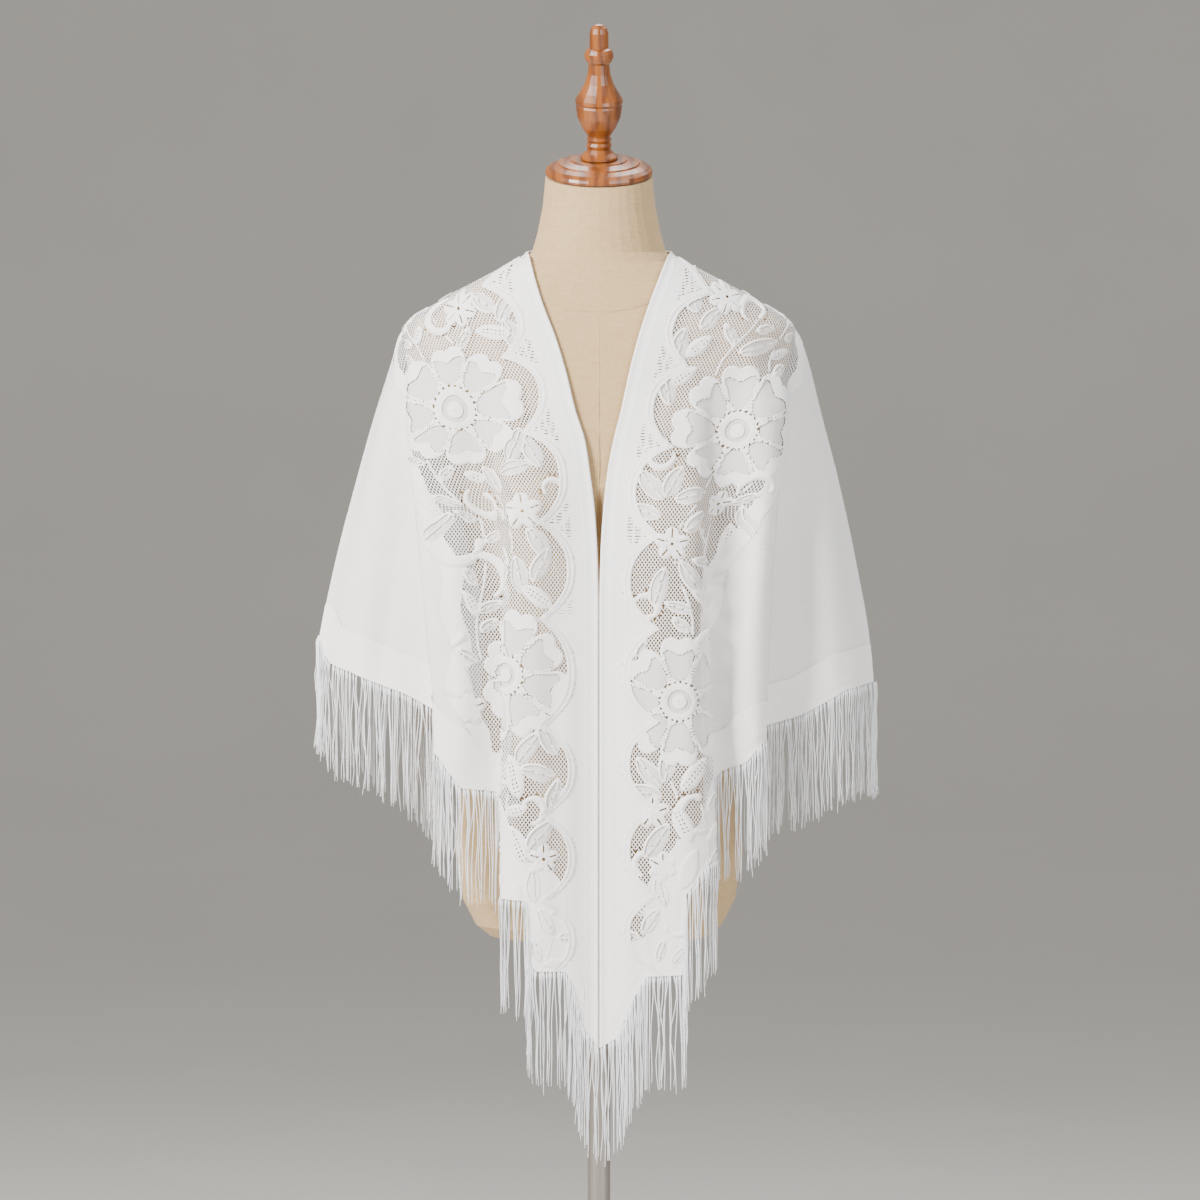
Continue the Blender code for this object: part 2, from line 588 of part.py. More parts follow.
def build_front(side, lace, band_mat, collection):
    """One front of the shawl with its edge band. Returns its hem, normals and places for the fringe."""
    word = "right" if side > 0 else "left"
    grid, places = front_grid(side)
    grid[0, :, 1] = -SEAM_GAP / 2
    grid[:, -1, 1] = -SEAM_GAP / 2
    normals = grid_normals(grid, side)
    normals[0, :, 1] = 0.0
    normals[:, -1, 1] = 0.0
    normals[6:, 0, 0] = 0.0
    normals[0, :4] = neck_normal(0.0) * np.array((side, 1.0, 1.0))
    normals = unit(normals)
    seam = unit(normals[:, 2] + normals[:, 3])
    normals[:, 2] = seam
    normals[:, 3] = seam
    wall(word + "_front", grid[:, 3:], normals[:, 3:], -1, lace, collection)
    neck, neck_normals = neck_band(side)
    band = np.concatenate([neck, grid[:, :3]], axis=0)
    band_normals = np.concatenate([neck_normals, normals[:, :3]], axis=0)
    wall(word + "_edge_band", band, band_normals, 0, band_mat, collection)
    return grid[-1], normals[-1], places


def build_back(lace, collection):
    """Back of the shawl in one piece. Returns its hem."""
    right, places = back_half(1, HEM_RIGHT[-1][1])
    left, _ = back_half(-1, HEM_LEFT[-1][1])
    grid = np.concatenate([left, right[:, -2::-1]], axis=1)
    ridge = np.concatenate([places <= 5.0, (places <= 5.0)[-2::-1]])
    grid[0, ridge, 1] = SEAM_GAP / 2
    grid[:, 0, 1] = SEAM_GAP / 2
    grid[:, -1, 1] = SEAM_GAP / 2
    normals = grid_normals(grid, -1)
    normals[0, ridge, 1] = 0.0
    normals[:, 0, 1] = 0.0
    normals[:, -1, 1] = 0.0
    middle = grid.shape[1] // 2
    for step in range(NECK_STEPS + 1):
        normal = neck_normal(90.0 * step / NECK_STEPS)
        normals[0, middle + NECK_STEPS - step] = normal
        normals[0, middle - NECK_STEPS + step] = normal * np.array((-1.0, 1.0, 1.0))
    normals[0, middle, 0] = 0.0
    normals = unit(normals)
    wall("back", grid, normals, 1, lace, collection)
    return grid[-1], normals[-1]


def fringe(name, hem, normals, material, collection):
    """Heading strip just under a hem, with strands that grow out of its lower face."""
    step = np.sqrt((np.diff(hem, axis=0) ** 2).sum(1))
    run = np.concatenate([[0.0], np.cumsum(step)])
    margin = 1.2
    count = max(int((run[-1] - 2 * margin) / FRINGE_PITCH), 2)
    stops = []
    pitch = (run[-1] - 2 * margin - STRAND_ROOT) / (count - 1)
    for k in range(count):
        stops.append(margin + k * pitch)
        stops.append(margin + k * pitch + STRAND_ROOT)
    stops = [margin * 0.3] + stops + [run[-1] - margin * 0.3]
    stops = np.array(stops)
    line = np.stack([np.interp(stops, run, hem[:, a]) for a in range(3)], axis=1)
    norm = unit(np.stack([np.interp(stops, run, normals[:, a]) for a in range(3)], axis=1))
    flat = norm.copy()
    flat[:, 2] = 0.0
    flat = unit(flat)
    along = np.gradient(line, axis=0)
    steep = np.abs(along[:, 2]) / np.sqrt((along ** 2).sum(1))
    drop = np.zeros_like(line)
    drop[:, 2] = -SEAM_GAP - STEEP_DROP * steep
    top = line + drop
    low = top + np.array((0.0, 0.0, -STRIP_DEPTH))
    half = flat * STRIP_WALL / 2
    rings = [top + half, top - half, low - half, low + half]
    count_stops = len(stops)
    verts = []
    for k in range(count_stops):
        for ring in rings:
            verts.append(ring[k])
    faces = [(0, 1, 2, 3)]
    last = (count_stops - 1) * 4
    faces.append((last + 3, last + 2, last + 1, last))
    for k in range(count_stops - 1):
        a = k * 4
        b = a + 4
        faces.append((a, a + 3, b + 3, b))
        faces.append((a + 1, a, b, b + 1))
        faces.append((a + 2, a + 1, b + 1, b + 2))
        strand = k % 2 == 1
        if not strand:
            faces.append((a + 3, a + 2, b + 2, b + 3))
            continue
        number = (k - 1) // 2
        root = [verts[a + 3], verts[a + 2], verts[b + 2], verts[b + 3]]
        root_index = (a + 3, a + 2, b + 2, b + 3)
        centre = sum(root) / 4
        length = FRINGE_LENGTH - STRIP_DEPTH + 5.0 * np.sin(number * 2.4)
        drift = np.array((1.1 * np.sin(number * 1.7), 0.7 * np.cos(number * 2.9), 0.0))
        tip = len(verts)
        verts.append(centre + drift + np.array((0.0, 0.0, -length)))
        for m in range(4):
            faces.append((root_index[m], root_index[(m + 1) % 4], tip))
    return add_mesh(name, verts, faces, material, collection)


def build_fringes(side, hem, normals, places, material, collection):
    """Fringe of one front, a node for each stretch between two folds."""
    word = "right" if side > 0 else "left"
    stretches = (("low", 0.0, 0.68), ("high", 0.685, 1.0), ("fold", 1.05, 3.0), ("sleeve", 3.05, 6.0))
    for part, start, stop in stretches:
        keep = [j for j, p in enumerate(places) if start <= p <= stop]
        name = word + "_fringe_" + part
        fringe(name, hem[keep], normals[keep], material, collection)


def build_torso(material, collection):
    """Torso and neck: rounded sections up to the slanted neck top."""
    verts = []
    angles = np.arange(FORM_SIDES) / FORM_SIDES * 2 * np.pi
    for row in FORM_ROWS:
        z, wide, front, back, power, slope = row
        c = np.cos(angles)
        s = np.sin(angles)
        x = np.sign(c) * np.abs(c) ** (2 / power) * wide
        deep = np.where(s < 0, front * bust_gain(x, z), back)
        y = np.sign(s) * np.abs(s) ** (2 / power) * deep
        for k in range(FORM_SIDES):
            verts.append((x[k], y[k], z + slope * y[k]))
    faces = [tuple(range(FORM_SIDES))]
    rows = len(FORM_ROWS)
    for i in range(rows - 1):
        for k in range(FORM_SIDES):
            n = (k + 1) % FORM_SIDES
            a = i * FORM_SIDES
            b = a + FORM_SIDES
            faces.append((a + n, a + k, b + k, b + n))
    faces.append(tuple((rows - 1) * FORM_SIDES + k for k in range(FORM_SIDES - 1, -1, -1)))
    obj = add_mesh("form_torso", np.array(verts), faces, material, collection)
    obj.data.shade_smooth()
    obj.data.set_sharp_from_angle(angle=np.radians(50))
    return obj


def turned(name, profile, steps, material, collection):
    """Turned piece from a profile of radius and height, top to bottom, made by a Screw."""
    verts = [Vector((r * MM, 0.0, h * MM)) for r, h in profile]
    edges = [(k, k + 1) for k in range(len(profile) - 1)]
    mesh = bpy.data.meshes.new(name)
    mesh.from_pydata(verts, edges, [])
    obj = bpy.data.objects.new(name, mesh)
    mesh.materials.append(material)
    collection.objects.link(obj)
    screw = obj.modifiers.new("Turn", "SCREW")
    screw.axis = "Z"
    screw.steps = steps
    screw.render_steps = steps
    screw.use_merge_vertices = True
    screw.merge_threshold = 0.00005
    screw.use_smooth_shade = True
    return obj


def tilt_on_neck(obj):
    """Lean a turned piece forward with the slanted neck top."""
    turn = Matrix.Rotation(np.radians(CAP_TILT_DEG), 4, "X")
    seat = Matrix.Translation(Vector((0.0, CAP_SEAT_Y * MM, CAP_SEAT_Z * MM + 0.001)))
    obj.matrix_world = seat @ turn


def build_cap(material, collection):
    """Stepped neck cap."""
    profile = ((0.0, 17.5), (27.5, 16.6), (28.6, 15.2), (30.0, 15.6), (41.0, 13.6), (42.2, 12.0),
               (43.6, 12.4), (50.0, 9.8), (54.2, 6.6), (55.2, 3.8), (54.4, 1.2), (52.0, 0.3), (0.0, 0.3))
    cap = turned("neck_cap", profile, 32, material, collection)
    tilt_on_neck(cap)


def build_finial(material, collection):
    """Turned finial on the cap: foot, rings, cup, bead and domed tip."""
    seat = 17.9
    profile = ((0.0, 139.0), (4.5, 138.2), (8.0, 135.0), (9.6, 130.0), (9.8, 114.5), (12.6, 113.0),
               (14.6, 109.0), (14.8, 105.0), (13.0, 100.5), (10.6, 98.0), (11.6, 88.0), (14.6, 78.0),
               (19.5, 69.0), (24.0, 62.0), (24.6, 58.5), (23.0, 56.2), (23.8, 54.0), (22.2, 43.0),
               (17.4, 32.0), (12.0, 24.0), (11.4, 22.0), (13.0, 20.0), (11.6, 17.0), (13.2, 14.0),
               (11.8, 10.0), (14.5, 6.0), (19.2, 2.2), (19.2, 0.0), (0.0, 0.0))
    shifted = tuple((r, h + seat) for r, h in profile)
    finial = turned("finial", shifted, 22, material, collection)
    tilt_on_neck(finial)


def build_pole(material, collection):
    """One straight pole from the hub of the base to the torso."""
    top = FORM_ROWS[0][0] - SEAM_GAP
    low = HUB_TOP + SEAM_GAP
    profile = ((0.0, top), (POLE_RADIUS, top), (POLE_RADIUS, low), (0.0, low))
    pole = turned("pole", profile, 24, material, collection)
    pole.data.update()


def build_base(material, collection):
    """Round base disc with a small hub that carries the pole."""
    r = BASE_RADIUS
    t = BASE_THICK
    profile = ((0.0, HUB_TOP), (18.0, HUB_TOP), (20.0, HUB_TOP - 2.0), (21.0, t + 8.0), (26.0, t + 2.5),
               (34.0, t), (r - 6.0, t - 3.0), (r - 1.5, t - 6.0), (r, t - 9.0), (r, 2.0), (r - 2.0, 0.0),
               (0.0, 0.0))
    turned("base_disc", profile, 34, material, collection)


def main():
    """Build every piece."""
    clear_scene()
    collection = make_collection("lace_shawl_on_dress_form")
    lace = make_material("white_lace", (0.84, 0.82, 0.81), 0.85)
    band = make_material("lace_edge", (0.86, 0.84, 0.83), 0.8)
    silk = make_material("white_fringe", (0.86, 0.86, 0.87), 0.5)
    linen = make_material("beige_linen", (0.66, 0.57, 0.46), 0.9)
    wood = make_material("varnished_wood", (0.55, 0.27, 0.1), 0.3)
    metal = make_material("pole_metal", (0.42, 0.38, 0.34), 0.35, 0.6)
    build_torso(linen, collection)
    build_cap(wood, collection)
    build_finial(wood, collection)
    build_pole(metal, collection)
    build_base(metal, collection)
    for side in (-1, 1):
        hem, normals, places = build_front(side, lace, band, collection)
        build_fringes(side, hem, normals, places, silk, collection)
    hem, normals = build_back(lace, collection)
    middle = len(hem) // 2
    fringe("back_fringe_left", hem[1:middle + 1], normals[1:middle + 1], silk, collection)
    fringe("back_fringe_right", hem[middle:-1][::-1], normals[middle:-1][::-1], silk, collection)


main()
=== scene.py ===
"""Looks of the lace shawl on its dress form stand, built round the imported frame.

Tables are in millimetres. The front faces -Y, +Z is up, and side +1 is the side at +X.
"""
import json
import bmesh
import bpy
import numpy as np
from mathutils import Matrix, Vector

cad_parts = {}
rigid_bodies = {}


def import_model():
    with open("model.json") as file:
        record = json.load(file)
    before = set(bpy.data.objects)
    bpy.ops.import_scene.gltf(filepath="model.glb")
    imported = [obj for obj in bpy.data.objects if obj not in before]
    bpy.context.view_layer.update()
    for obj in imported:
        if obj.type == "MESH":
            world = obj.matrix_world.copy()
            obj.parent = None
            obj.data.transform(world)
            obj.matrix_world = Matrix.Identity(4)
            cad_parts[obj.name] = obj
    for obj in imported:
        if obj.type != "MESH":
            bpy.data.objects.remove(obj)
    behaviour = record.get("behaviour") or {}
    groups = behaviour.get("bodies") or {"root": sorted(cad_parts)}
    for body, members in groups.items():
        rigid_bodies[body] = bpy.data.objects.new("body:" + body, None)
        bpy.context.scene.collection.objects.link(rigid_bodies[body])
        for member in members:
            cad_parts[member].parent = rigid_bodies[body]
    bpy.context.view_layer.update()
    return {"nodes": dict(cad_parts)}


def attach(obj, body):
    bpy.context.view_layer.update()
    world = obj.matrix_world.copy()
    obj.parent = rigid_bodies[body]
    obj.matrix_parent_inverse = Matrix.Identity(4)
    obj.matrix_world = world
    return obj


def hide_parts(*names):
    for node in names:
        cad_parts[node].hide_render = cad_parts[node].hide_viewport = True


for start_up in list(bpy.data.objects):
    bpy.data.objects.remove(start_up, do_unlink=True)
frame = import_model()
MM = 0.001

# Cloth and fringe sizes.
CLOTH_WALL = 1.2
CLOTH_CLEAR = 2.6
SEAM_GAP = 0.3
BAND_WIDTH = 14.0
FRONT_GAP = 0.5
FRINGE_LENGTH = 112.0
HUG_SOFT = 4.0
CLOTH_MID = CLOTH_CLEAR + CLOTH_WALL / 2
WORDS = {1: "right", -1: "left"}
WHOLE = (slice(None), slice(None))

# Torso sections: half width, depth to the front, depth to the back, roundness and slope of the cut.
FORM_COLUMNS = ("z", "half_width", "front", "back", "power", "slope")
FORM_ROWS = (
    (661.0, 101.0, 70.0, 74.0, 2.2, 0.0),
    (664.0, 112.0, 78.0, 82.0, 2.2, 0.0),
    (675.0, 126.0, 88.0, 93.0, 2.2, 0.0),
    (700.0, 139.0, 97.0, 103.0, 2.2, 0.0),
    (750.0, 147.0, 102.0, 109.0, 2.2, 0.0),
    (800.0, 142.0, 99.0, 107.0, 2.2, 0.0),
    (850.0, 132.0, 93.0, 99.0, 2.2, 0.0),
    (900.0, 122.0, 87.0, 89.0, 2.2, 0.0),
    (955.0, 117.0, 85.0, 83.0, 2.2, 0.0),
    (1010.0, 121.0, 91.0, 83.0, 2.2, 0.0),
    (1060.0, 133.0, 104.0, 87.0, 2.2, 0.0),
    (1120.0, 149.0, 114.0, 92.0, 2.2, 0.0),
    (1180.0, 169.0, 107.0, 96.0, 2.2, 0.0),
    (1225.0, 187.0, 97.0, 96.0, 2.2, 0.0),
    (1257.0, 197.0, 89.0, 93.0, 2.2, 0.0),
    (1277.0, 197.0, 83.0, 89.0, 2.2, 0.0),
    (1292.0, 186.0, 78.0, 86.0, 2.2, 0.0),
    (1305.0, 166.0, 74.0, 83.0, 2.2, 0.0),
    (1318.0, 143.0, 70.0, 80.0, 2.2, 0.0),
    (1330.0, 121.0, 67.0, 77.0, 2.1, 0.0),
    (1341.0, 99.0, 64.0, 73.0, 2.1, 0.0),
    (1350.0, 80.5, 60.0, 68.0, 2.0, 0.02),
    (1361.0, 68.5, 57.0, 64.0, 2.0, 0.05),
    (1380.0, 63.0, 56.0, 61.0, 2.0, 0.12),
    (1408.0, 57.5, 53.0, 58.0, 2.0, 0.22),
    (1439.0, 54.5, 50.0, 56.0, 2.0, 0.325),
)
BUST_RISE = 0.15
BUST_X = 78.0
BUST_Z = 1125.0
BUST_WIDE = 44.0
BUST_HIGH = 64.0

# Inner edges of the front opening: distance from the middle against height.
OPENING_COLUMNS = ("z", "right", "left")
OPENING_ROWS = (
    (1361.0, 72.0, 72.0),
    (1333.0, 61.0, 65.0),
    (1304.0, 50.0, 56.0),
    (1270.0, 39.0, 43.0),
    (1235.0, 30.0, 32.5),
    (1198.0, 22.0, 23.5),
    (1166.0, 14.0, 13.5),
    (1133.0, 8.0, 8.5),
    (1096.0, 4.0, 4.0),
    (1053.0, 1.5, 1.5),
    (1000.0, FRONT_GAP, FRONT_GAP),
    (500.0, FRONT_GAP, FRONT_GAP),
)

# Shoulder line of the cloth, from the neck to the shoulder end, and the outer sleeve line below it.
SHOULDER_COLUMNS = ("x", "z")
SHOULDER_ROWS = ((72.0, 1360.0), (100.0, 1344.0), (146.0, 1321.0), (189.0, 1295.0), (200.0, 1284.0))
SLEEVE_COLUMNS = ("z", "right", "left")
SLEEVE_ROWS = (
    (1284.0, 200.0, 200.0),
    (1274.0, 206.0, 205.0),
    (1253.0, 213.0, 211.0),
    (1186.0, 230.0, 232.0),
    (1136.0, 243.0, 246.0),
    (1039.0, 264.0, 271.0),
    (963.0, 277.0, 286.0),
    (900.0, 282.0, 292.0),
)

# Front folds at named heights: f1 and f2 are folds, v1 and v2 the valleys tucked behind them.
FRONT_COLUMNS = ("z", "edge_y", "f1_x", "f1_y", "v1_x", "v1_y", "f2_x", "f2_y", "v2_x", "v2_y",
                 "s_x", "s_y", "folded1", "folded2")
FRONT_RIGHT = (
    (1350.0, -8.0, 104.0, -6.0, 116.0, -5.0, 172.0, -4.0, 184.0, -3.0, 196.0, -2.0, 0.0, 0.0),
    (1280.0, -50.0, 102.0, -50.0, 116.0, -46.0, 186.0, -26.0, 193.0, -20.0, 201.0, -10.0, 0.0, 0.0),
    (1200.0, -95.0, 101.0, -96.0, 113.0, -88.0, 189.0, -62.0, 190.0, -46.0, 213.0, -22.0, 0.0, 0.35),
    (1120.0, -118.0, 102.0, -118.0, 113.0, -106.0, 181.0, -86.0, 176.0, -60.0, 224.0, -32.0, 0.15, 0.8),
    (1000.0, -131.0, 108.0, -126.0, 99.0, -104.0, 173.0, -96.0, 162.0, -64.0, 239.0, -39.0, 1.0, 1.0),
    (880.0, -131.0, 113.0, -126.0, 101.0, -101.0, 167.0, -96.0, 156.0, -64.0, 250.0, -40.0, 1.0, 1.0),
    (740.0, -128.0, 117.0, -122.0, 104.0, -98.0, 164.0, -92.0, 154.0, -62.0, 258.0, -40.0, 1.0, 1.0),
    (540.0, -123.0, 118.0, -118.0, 105.0, -96.0, 164.0, -90.0, 154.0, -62.0, 262.0, -40.0, 1.0, 1.0),
)
FRONT_LEFT = (
    (1350.0, -8.0, 102.0, -6.0, 114.0, -5.0, 172.0, -4.0, 184.0, -3.0, 196.0, -2.0, 0.0, 0.0),
    (1280.0, -50.0, 98.0, -52.0, 112.0, -48.0, 190.0, -26.0, 194.0, -20.0, 201.0, -10.0, 0.0, 0.0),
    (1200.0, -95.0, 94.0, -98.0, 106.0, -90.0, 194.0, -60.0, 194.0, -44.0, 215.0, -22.0, 0.0, 0.35),
    (1120.0, -118.0, 92.0, -120.0, 104.0, -107.0, 187.0, -84.0, 181.0, -58.0, 227.0, -32.0, 0.15, 0.8),
    (1000.0, -131.0, 95.0, -128.0, 87.0, -106.0, 176.0, -95.0, 166.0, -63.0, 244.0, -39.0, 1.0, 1.0),
    (880.0, -131.0, 97.0, -128.0, 86.0, -103.0, 166.0, -96.0, 156.0, -64.0, 256.0, -40.0, 1.0, 1.0),
    (740.0, -128.0, 98.0, -124.0, 87.0, -100.0, 163.0, -92.0, 152.0, -62.0, 264.0, -40.0, 1.0, 1.0),
    (540.0, -123.0, 98.0, -120.0, 87.0, -98.0, 163.0, -90.0, 152.0, -62.0, 268.0, -40.0, 1.0, 1.0),
)
FRONTS = {1: FRONT_RIGHT, -1: FRONT_LEFT}

# Where the guide points of the front leave the shoulder line, as half widths.
FRONT_TOPS = (72.0, 101.0, 104.0, 107.0, 111.0, 114.0, 117.0, 166.0, 171.0, 175.0, 181.0, 186.0,
              190.0, 196.0, 200.0)
# How many columns each stretch between two guide points gets.
FRONT_SPLITS = (44, 3, 3, 4, 3, 3, 24, 3, 3, 4, 3, 3, 16, 12)

# Hem of the front: place along the folds (0 edge, 1 f1, 2 v1, 3 f2, 4 v2, 5 sleeve front,
# 6 outer line) and height.
HEM_COLUMNS = ("place", "z")
HEM_RIGHT = ((0.0, 563.0), (0.145, 573.0), (0.27, 612.0), (0.37, 635.0), (0.56, 636.0), (0.672, 637.0),
             (0.69, 716.0), (0.9, 746.0), (1.0, 752.0), (2.0, 800.0), (2.3, 836.0), (2.7, 846.0),
             (3.0, 868.0), (4.0, 876.0), (4.5, 890.0), (5.0, 915.0), (5.5, 919.0), (6.0, 922.0))
HEM_LEFT = ((0.0, 563.0), (0.09, 573.0), (0.18, 588.0), (0.265, 629.0), (0.32, 640.0), (0.6, 640.0),
            (0.665, 647.0), (0.69, 710.0), (1.0, 712.0), (2.0, 780.0), (2.2, 816.0), (2.65, 820.0),
            (3.0, 856.0), (4.0, 890.0), (4.4, 912.0), (5.0, 934.0), (5.5, 941.0), (5.7, 947.0),
            (6.0, 970.0))
HEMS = {1: HEM_RIGHT, -1: HEM_LEFT}

# Back folds: place round the back, from the outer sleeve line (0) to the middle (7), at each height.
BACK_COLUMNS = ("z", "x1", "y1", "x2", "y2", "x3", "y3", "x4", "y4", "x5", "y5", "x6", "y6", "y7")
BACK_ROWS = (
    (1350.0, 196.0, 3.0, 182.0, 5.0, 160.0, 7.0, 128.0, 9.0, 80.0, 40.0, 40.0, 64.0, 74.0),
    (1280.0, 200.0, 14.0, 188.0, 34.0, 168.0, 56.0, 130.0, 76.0, 82.0, 90.0, 40.0, 97.0, 99.0),
    (1200.0, 214.0, 22.0, 190.0, 50.0, 168.0, 80.0, 128.0, 96.0, 84.0, 104.0, 40.0, 107.0, 108.0),
    (1100.0, 230.0, 34.0, 190.0, 62.0, 166.0, 104.0, 120.0, 102.0, 82.0, 117.0, 40.0, 107.0, 112.0),
    (960.0, 246.0, 44.0, 192.0, 70.0, 168.0, 122.0, 114.0, 104.0, 80.0, 130.0, 38.0, 111.0, 122.0),
    (800.0, 256.0, 48.0, 194.0, 74.0, 170.0, 136.0, 112.0, 114.0, 78.0, 142.0, 36.0, 117.0, 131.0),
)
BACK_TOPS = (200.0, 196.0, 184.0, 166.0, 134.0)
BACK_HEM = ((0.0, 0.0), (1.0, -6.0), (2.0, -32.0), (3.0, -66.0), (4.0, -86.0), (5.0, -124.0),
            (6.0, -146.0), (7.0, -190.0))
BACK_HEM_TOP = 922.0
BACK_SPLIT = 9

# Slant of the cloth at the neck: across and down, at the ridge and behind the neck.
RIDGE_SLANT = 0.868
RIDGE_DROP = 0.497
BACK_SLANT = 0.37
BACK_DROP = 0.93
NECK_EDGE_X = 72.0
NECK_BACK_RISE = 12.0
NECK_BACK_Y = 66.5
NECK_STEPS = 2 * BACK_SPLIT

# Roundness of the folds, and how far below the shoulder line the folds reach their full form.
FOLD_NOSE = 5.0
OPEN_STEP = 2.5
BLEND_DROP = 75.0


def column(rows, names, name):
    """Return one named column of a table as an array."""
    return np.array([row[names.index(name)] for row in rows])


def slopes(xs, ys):
    """Slopes of a smooth curve through points, flat at its turning points."""
    step = np.diff(xs)
    rise = np.diff(ys) / step
    out = np.zeros(len(xs))
    out[0] = rise[0]
    out[-1] = rise[-1]
    for k in range(1, len(xs) - 1):
        if rise[k - 1] * rise[k] > 0:
            w1 = 2 * step[k] + step[k - 1]
            w2 = step[k] + 2 * step[k - 1]
            out[k] = (w1 + w2) / (w1 / rise[k - 1] + w2 / rise[k])
    return out


def hermite(t, h, p0, p1, m0, m1):
    """Smooth curve between two points a distance h apart, with set slopes at both."""
    a = (1 + 2 * t) * (1 - t) ** 2 * p0
    b = t * (1 - t) ** 2 * h * m0
    c = t * t * (3 - 2 * t) * p1
    d = t * t * (t - 1) * h * m1
    return a + b + c + d


def smooth_read(xs, ys, x):
    """Read a smooth curve, through rising xs, at x (held level past its ends)."""
    m = slopes(xs, ys)
    x = np.clip(x, xs[0], xs[-1])
    k = np.clip(np.searchsorted(xs, x, side="right") - 1, 0, len(xs) - 2)
    h = xs[k + 1] - xs[k]
    return hermite((x - xs[k]) / h, h, ys[k], ys[k + 1], m[k], m[k + 1])


def read_table(rows, names, name, z):
    """Read a named column of a table of heights at height z, whichever way its heights run."""
    zs = column(rows, names, "z")
    vs = column(rows, names, name)
    order = np.argsort(zs)
    return smooth_read(zs[order], vs[order], z)


def ease(t):
    """Smooth step from 0 to 1."""
    t = np.clip(t, 0.0, 1.0)
    return t * t * (3 - 2 * t)


def bust_gain(x, z):
    """How much further forward the chest stands at a point."""
    across = np.exp(-((np.abs(x) - BUST_X) / BUST_WIDE) ** 2)
    up = np.exp(-((z - BUST_Z) / BUST_HIGH) ** 2)
    return 1.0 + BUST_RISE * across * up


def form_at(name, z):
    """One measure of the torso's sections at height z."""
    return read_table(FORM_ROWS, FORM_COLUMNS, name, z)


def form_depth(x, z, side_y):
    """Depth of the torso from its middle, to the front or to the back."""
    if side_y < 0:
        return form_at("front", z) * bust_gain(x, z)
    return form_at("back", z)


def form_level(p, grow):
    """Below zero inside the form grown by some millimetres, above zero outside it."""
    x, y, z = p[..., 0], p[..., 1], p[..., 2]
    zz = np.clip(z - grow, FORM_ROWS[0][0], FORM_ROWS[-1][0])
    wide = form_at("half_width", zz) + grow
    deep = np.where(y < 0, form_depth(x, zz, -1), form_depth(x, zz, 1)) + grow
    power = form_at("power", zz)
    radius = (np.abs(x / wide) ** power + np.abs(y / deep) ** power) ** (1 / power)
    return (radius - 1.0) * np.minimum(wide, deep)


def push_clear(p, grow):
    """Move points that lie inside the grown form out to its surface."""
    p = p.copy()
    for _ in range(7):
        level = form_level(p, grow)
        grad = np.zeros_like(p)
        for axis in range(3):
            q = p.copy()
            q[..., axis] += 0.5
            grad[..., axis] = (form_level(q, grow) - level) / 0.5
        size = np.maximum((grad ** 2).sum(-1), 0.05)
        move = np.where(level < 0, -level / size, 0.0)
        move = np.minimum(move, 12.0)
        p += grad * move[..., None]
    return p


def plan_curve(points, splits):
    """Smooth curve through plan points, with a set number of columns in each stretch."""
    chord = np.maximum(np.sqrt((np.diff(points, axis=0) ** 2).sum(1)), 1e-6)
    s = np.concatenate([[0.0], np.cumsum(chord)])
    m = np.zeros_like(points)
    for k in range(1, len(points) - 1):
        before = (points[k] - points[k - 1]) / chord[k - 1]
        after = (points[k + 1] - points[k]) / chord[k]
        m[k] = (before * chord[k] + after * chord[k - 1]) / (chord[k] + chord[k - 1])
    m[0] = (points[1] - points[0]) / chord[0]
    m[-1] = (points[-1] - points[-2]) / chord[-1]
    out = []
    for k, fractions in enumerate(splits):
        h = s[k + 1] - s[k]
        out += [hermite(t, h, points[k], points[k + 1], m[k], m[k + 1]) for t in fractions]
    out.append(points[-1])
    return np.array(out)


def front_section(z, side):
    """Guide points of the front's plan at height z: edge, folds with round noses, valleys, sleeve."""
    v = {name: read_table(FRONTS[side], FRONT_COLUMNS, name, z) for name in FRONT_COLUMNS[1:]}
    edge_x = read_table(OPENING_ROWS, OPENING_COLUMNS, WORDS[side], z)
    outer_x = read_table(SLEEVE_ROWS, SLEEVE_COLUMNS, WORDS[side], z)
    points = [(edge_x, v["edge_y"])]
    for fold, valley, folded in (("f1", "v1", "folded1"), ("f2", "v2", "folded2")):
        back_step = OPEN_STEP + (-FOLD_NOSE - OPEN_STEP) * v[folded]
        side_step = OPEN_STEP / 2 + (FOLD_NOSE - OPEN_STEP / 2) * v[folded]
        fx, fy = v[fold + "_x"], v[fold + "_y"]
        vx, vy = v[valley + "_x"], v[valley + "_y"]
        points.append((fx - abs(back_step), fy - side_step))
        points.append((fx, fy))
        points.append((fx + back_step, fy + side_step))
        points.append((vx - back_step * 0.6, vy - side_step * 0.6))
        points.append((vx, vy))
        points.append((vx + abs(back_step) * 0.8, vy + side_step * 0.5))
    points.append((v["s_x"], v["s_y"]))
    points.append((outer_x, 0.0))
    return np.array(points)


def hug(p, grow, side_y):
    """Bring points that lie over the form out to its grown surface, to the front or to the back."""
    x, z = np.abs(p[..., 0]), p[..., 2]
    zz = np.clip(z - grow, FORM_ROWS[0][0], FORM_ROWS[-1][0])
    wide = form_at("half_width", zz) + grow
    deep = form_depth(x, zz, side_y) + grow
    power = form_at("power", zz)
    inside = np.clip(1.0 - (x / wide) ** power, 0.0, 1.0)
    surface = deep * inside ** (1 / power)
    p = p.copy()
    away = p[..., 1] * side_y
    high = np.maximum(away, surface)
    low = np.minimum(away, surface)
    soft = np.where(surface > 20.0, HUG_SOFT, HUG_SOFT * surface / 20.0)
    blend = soft * np.log1p(np.exp(-(high - low) / np.maximum(soft, 0.05)))
    p[..., 1] = side_y * (high + blend)
    return p


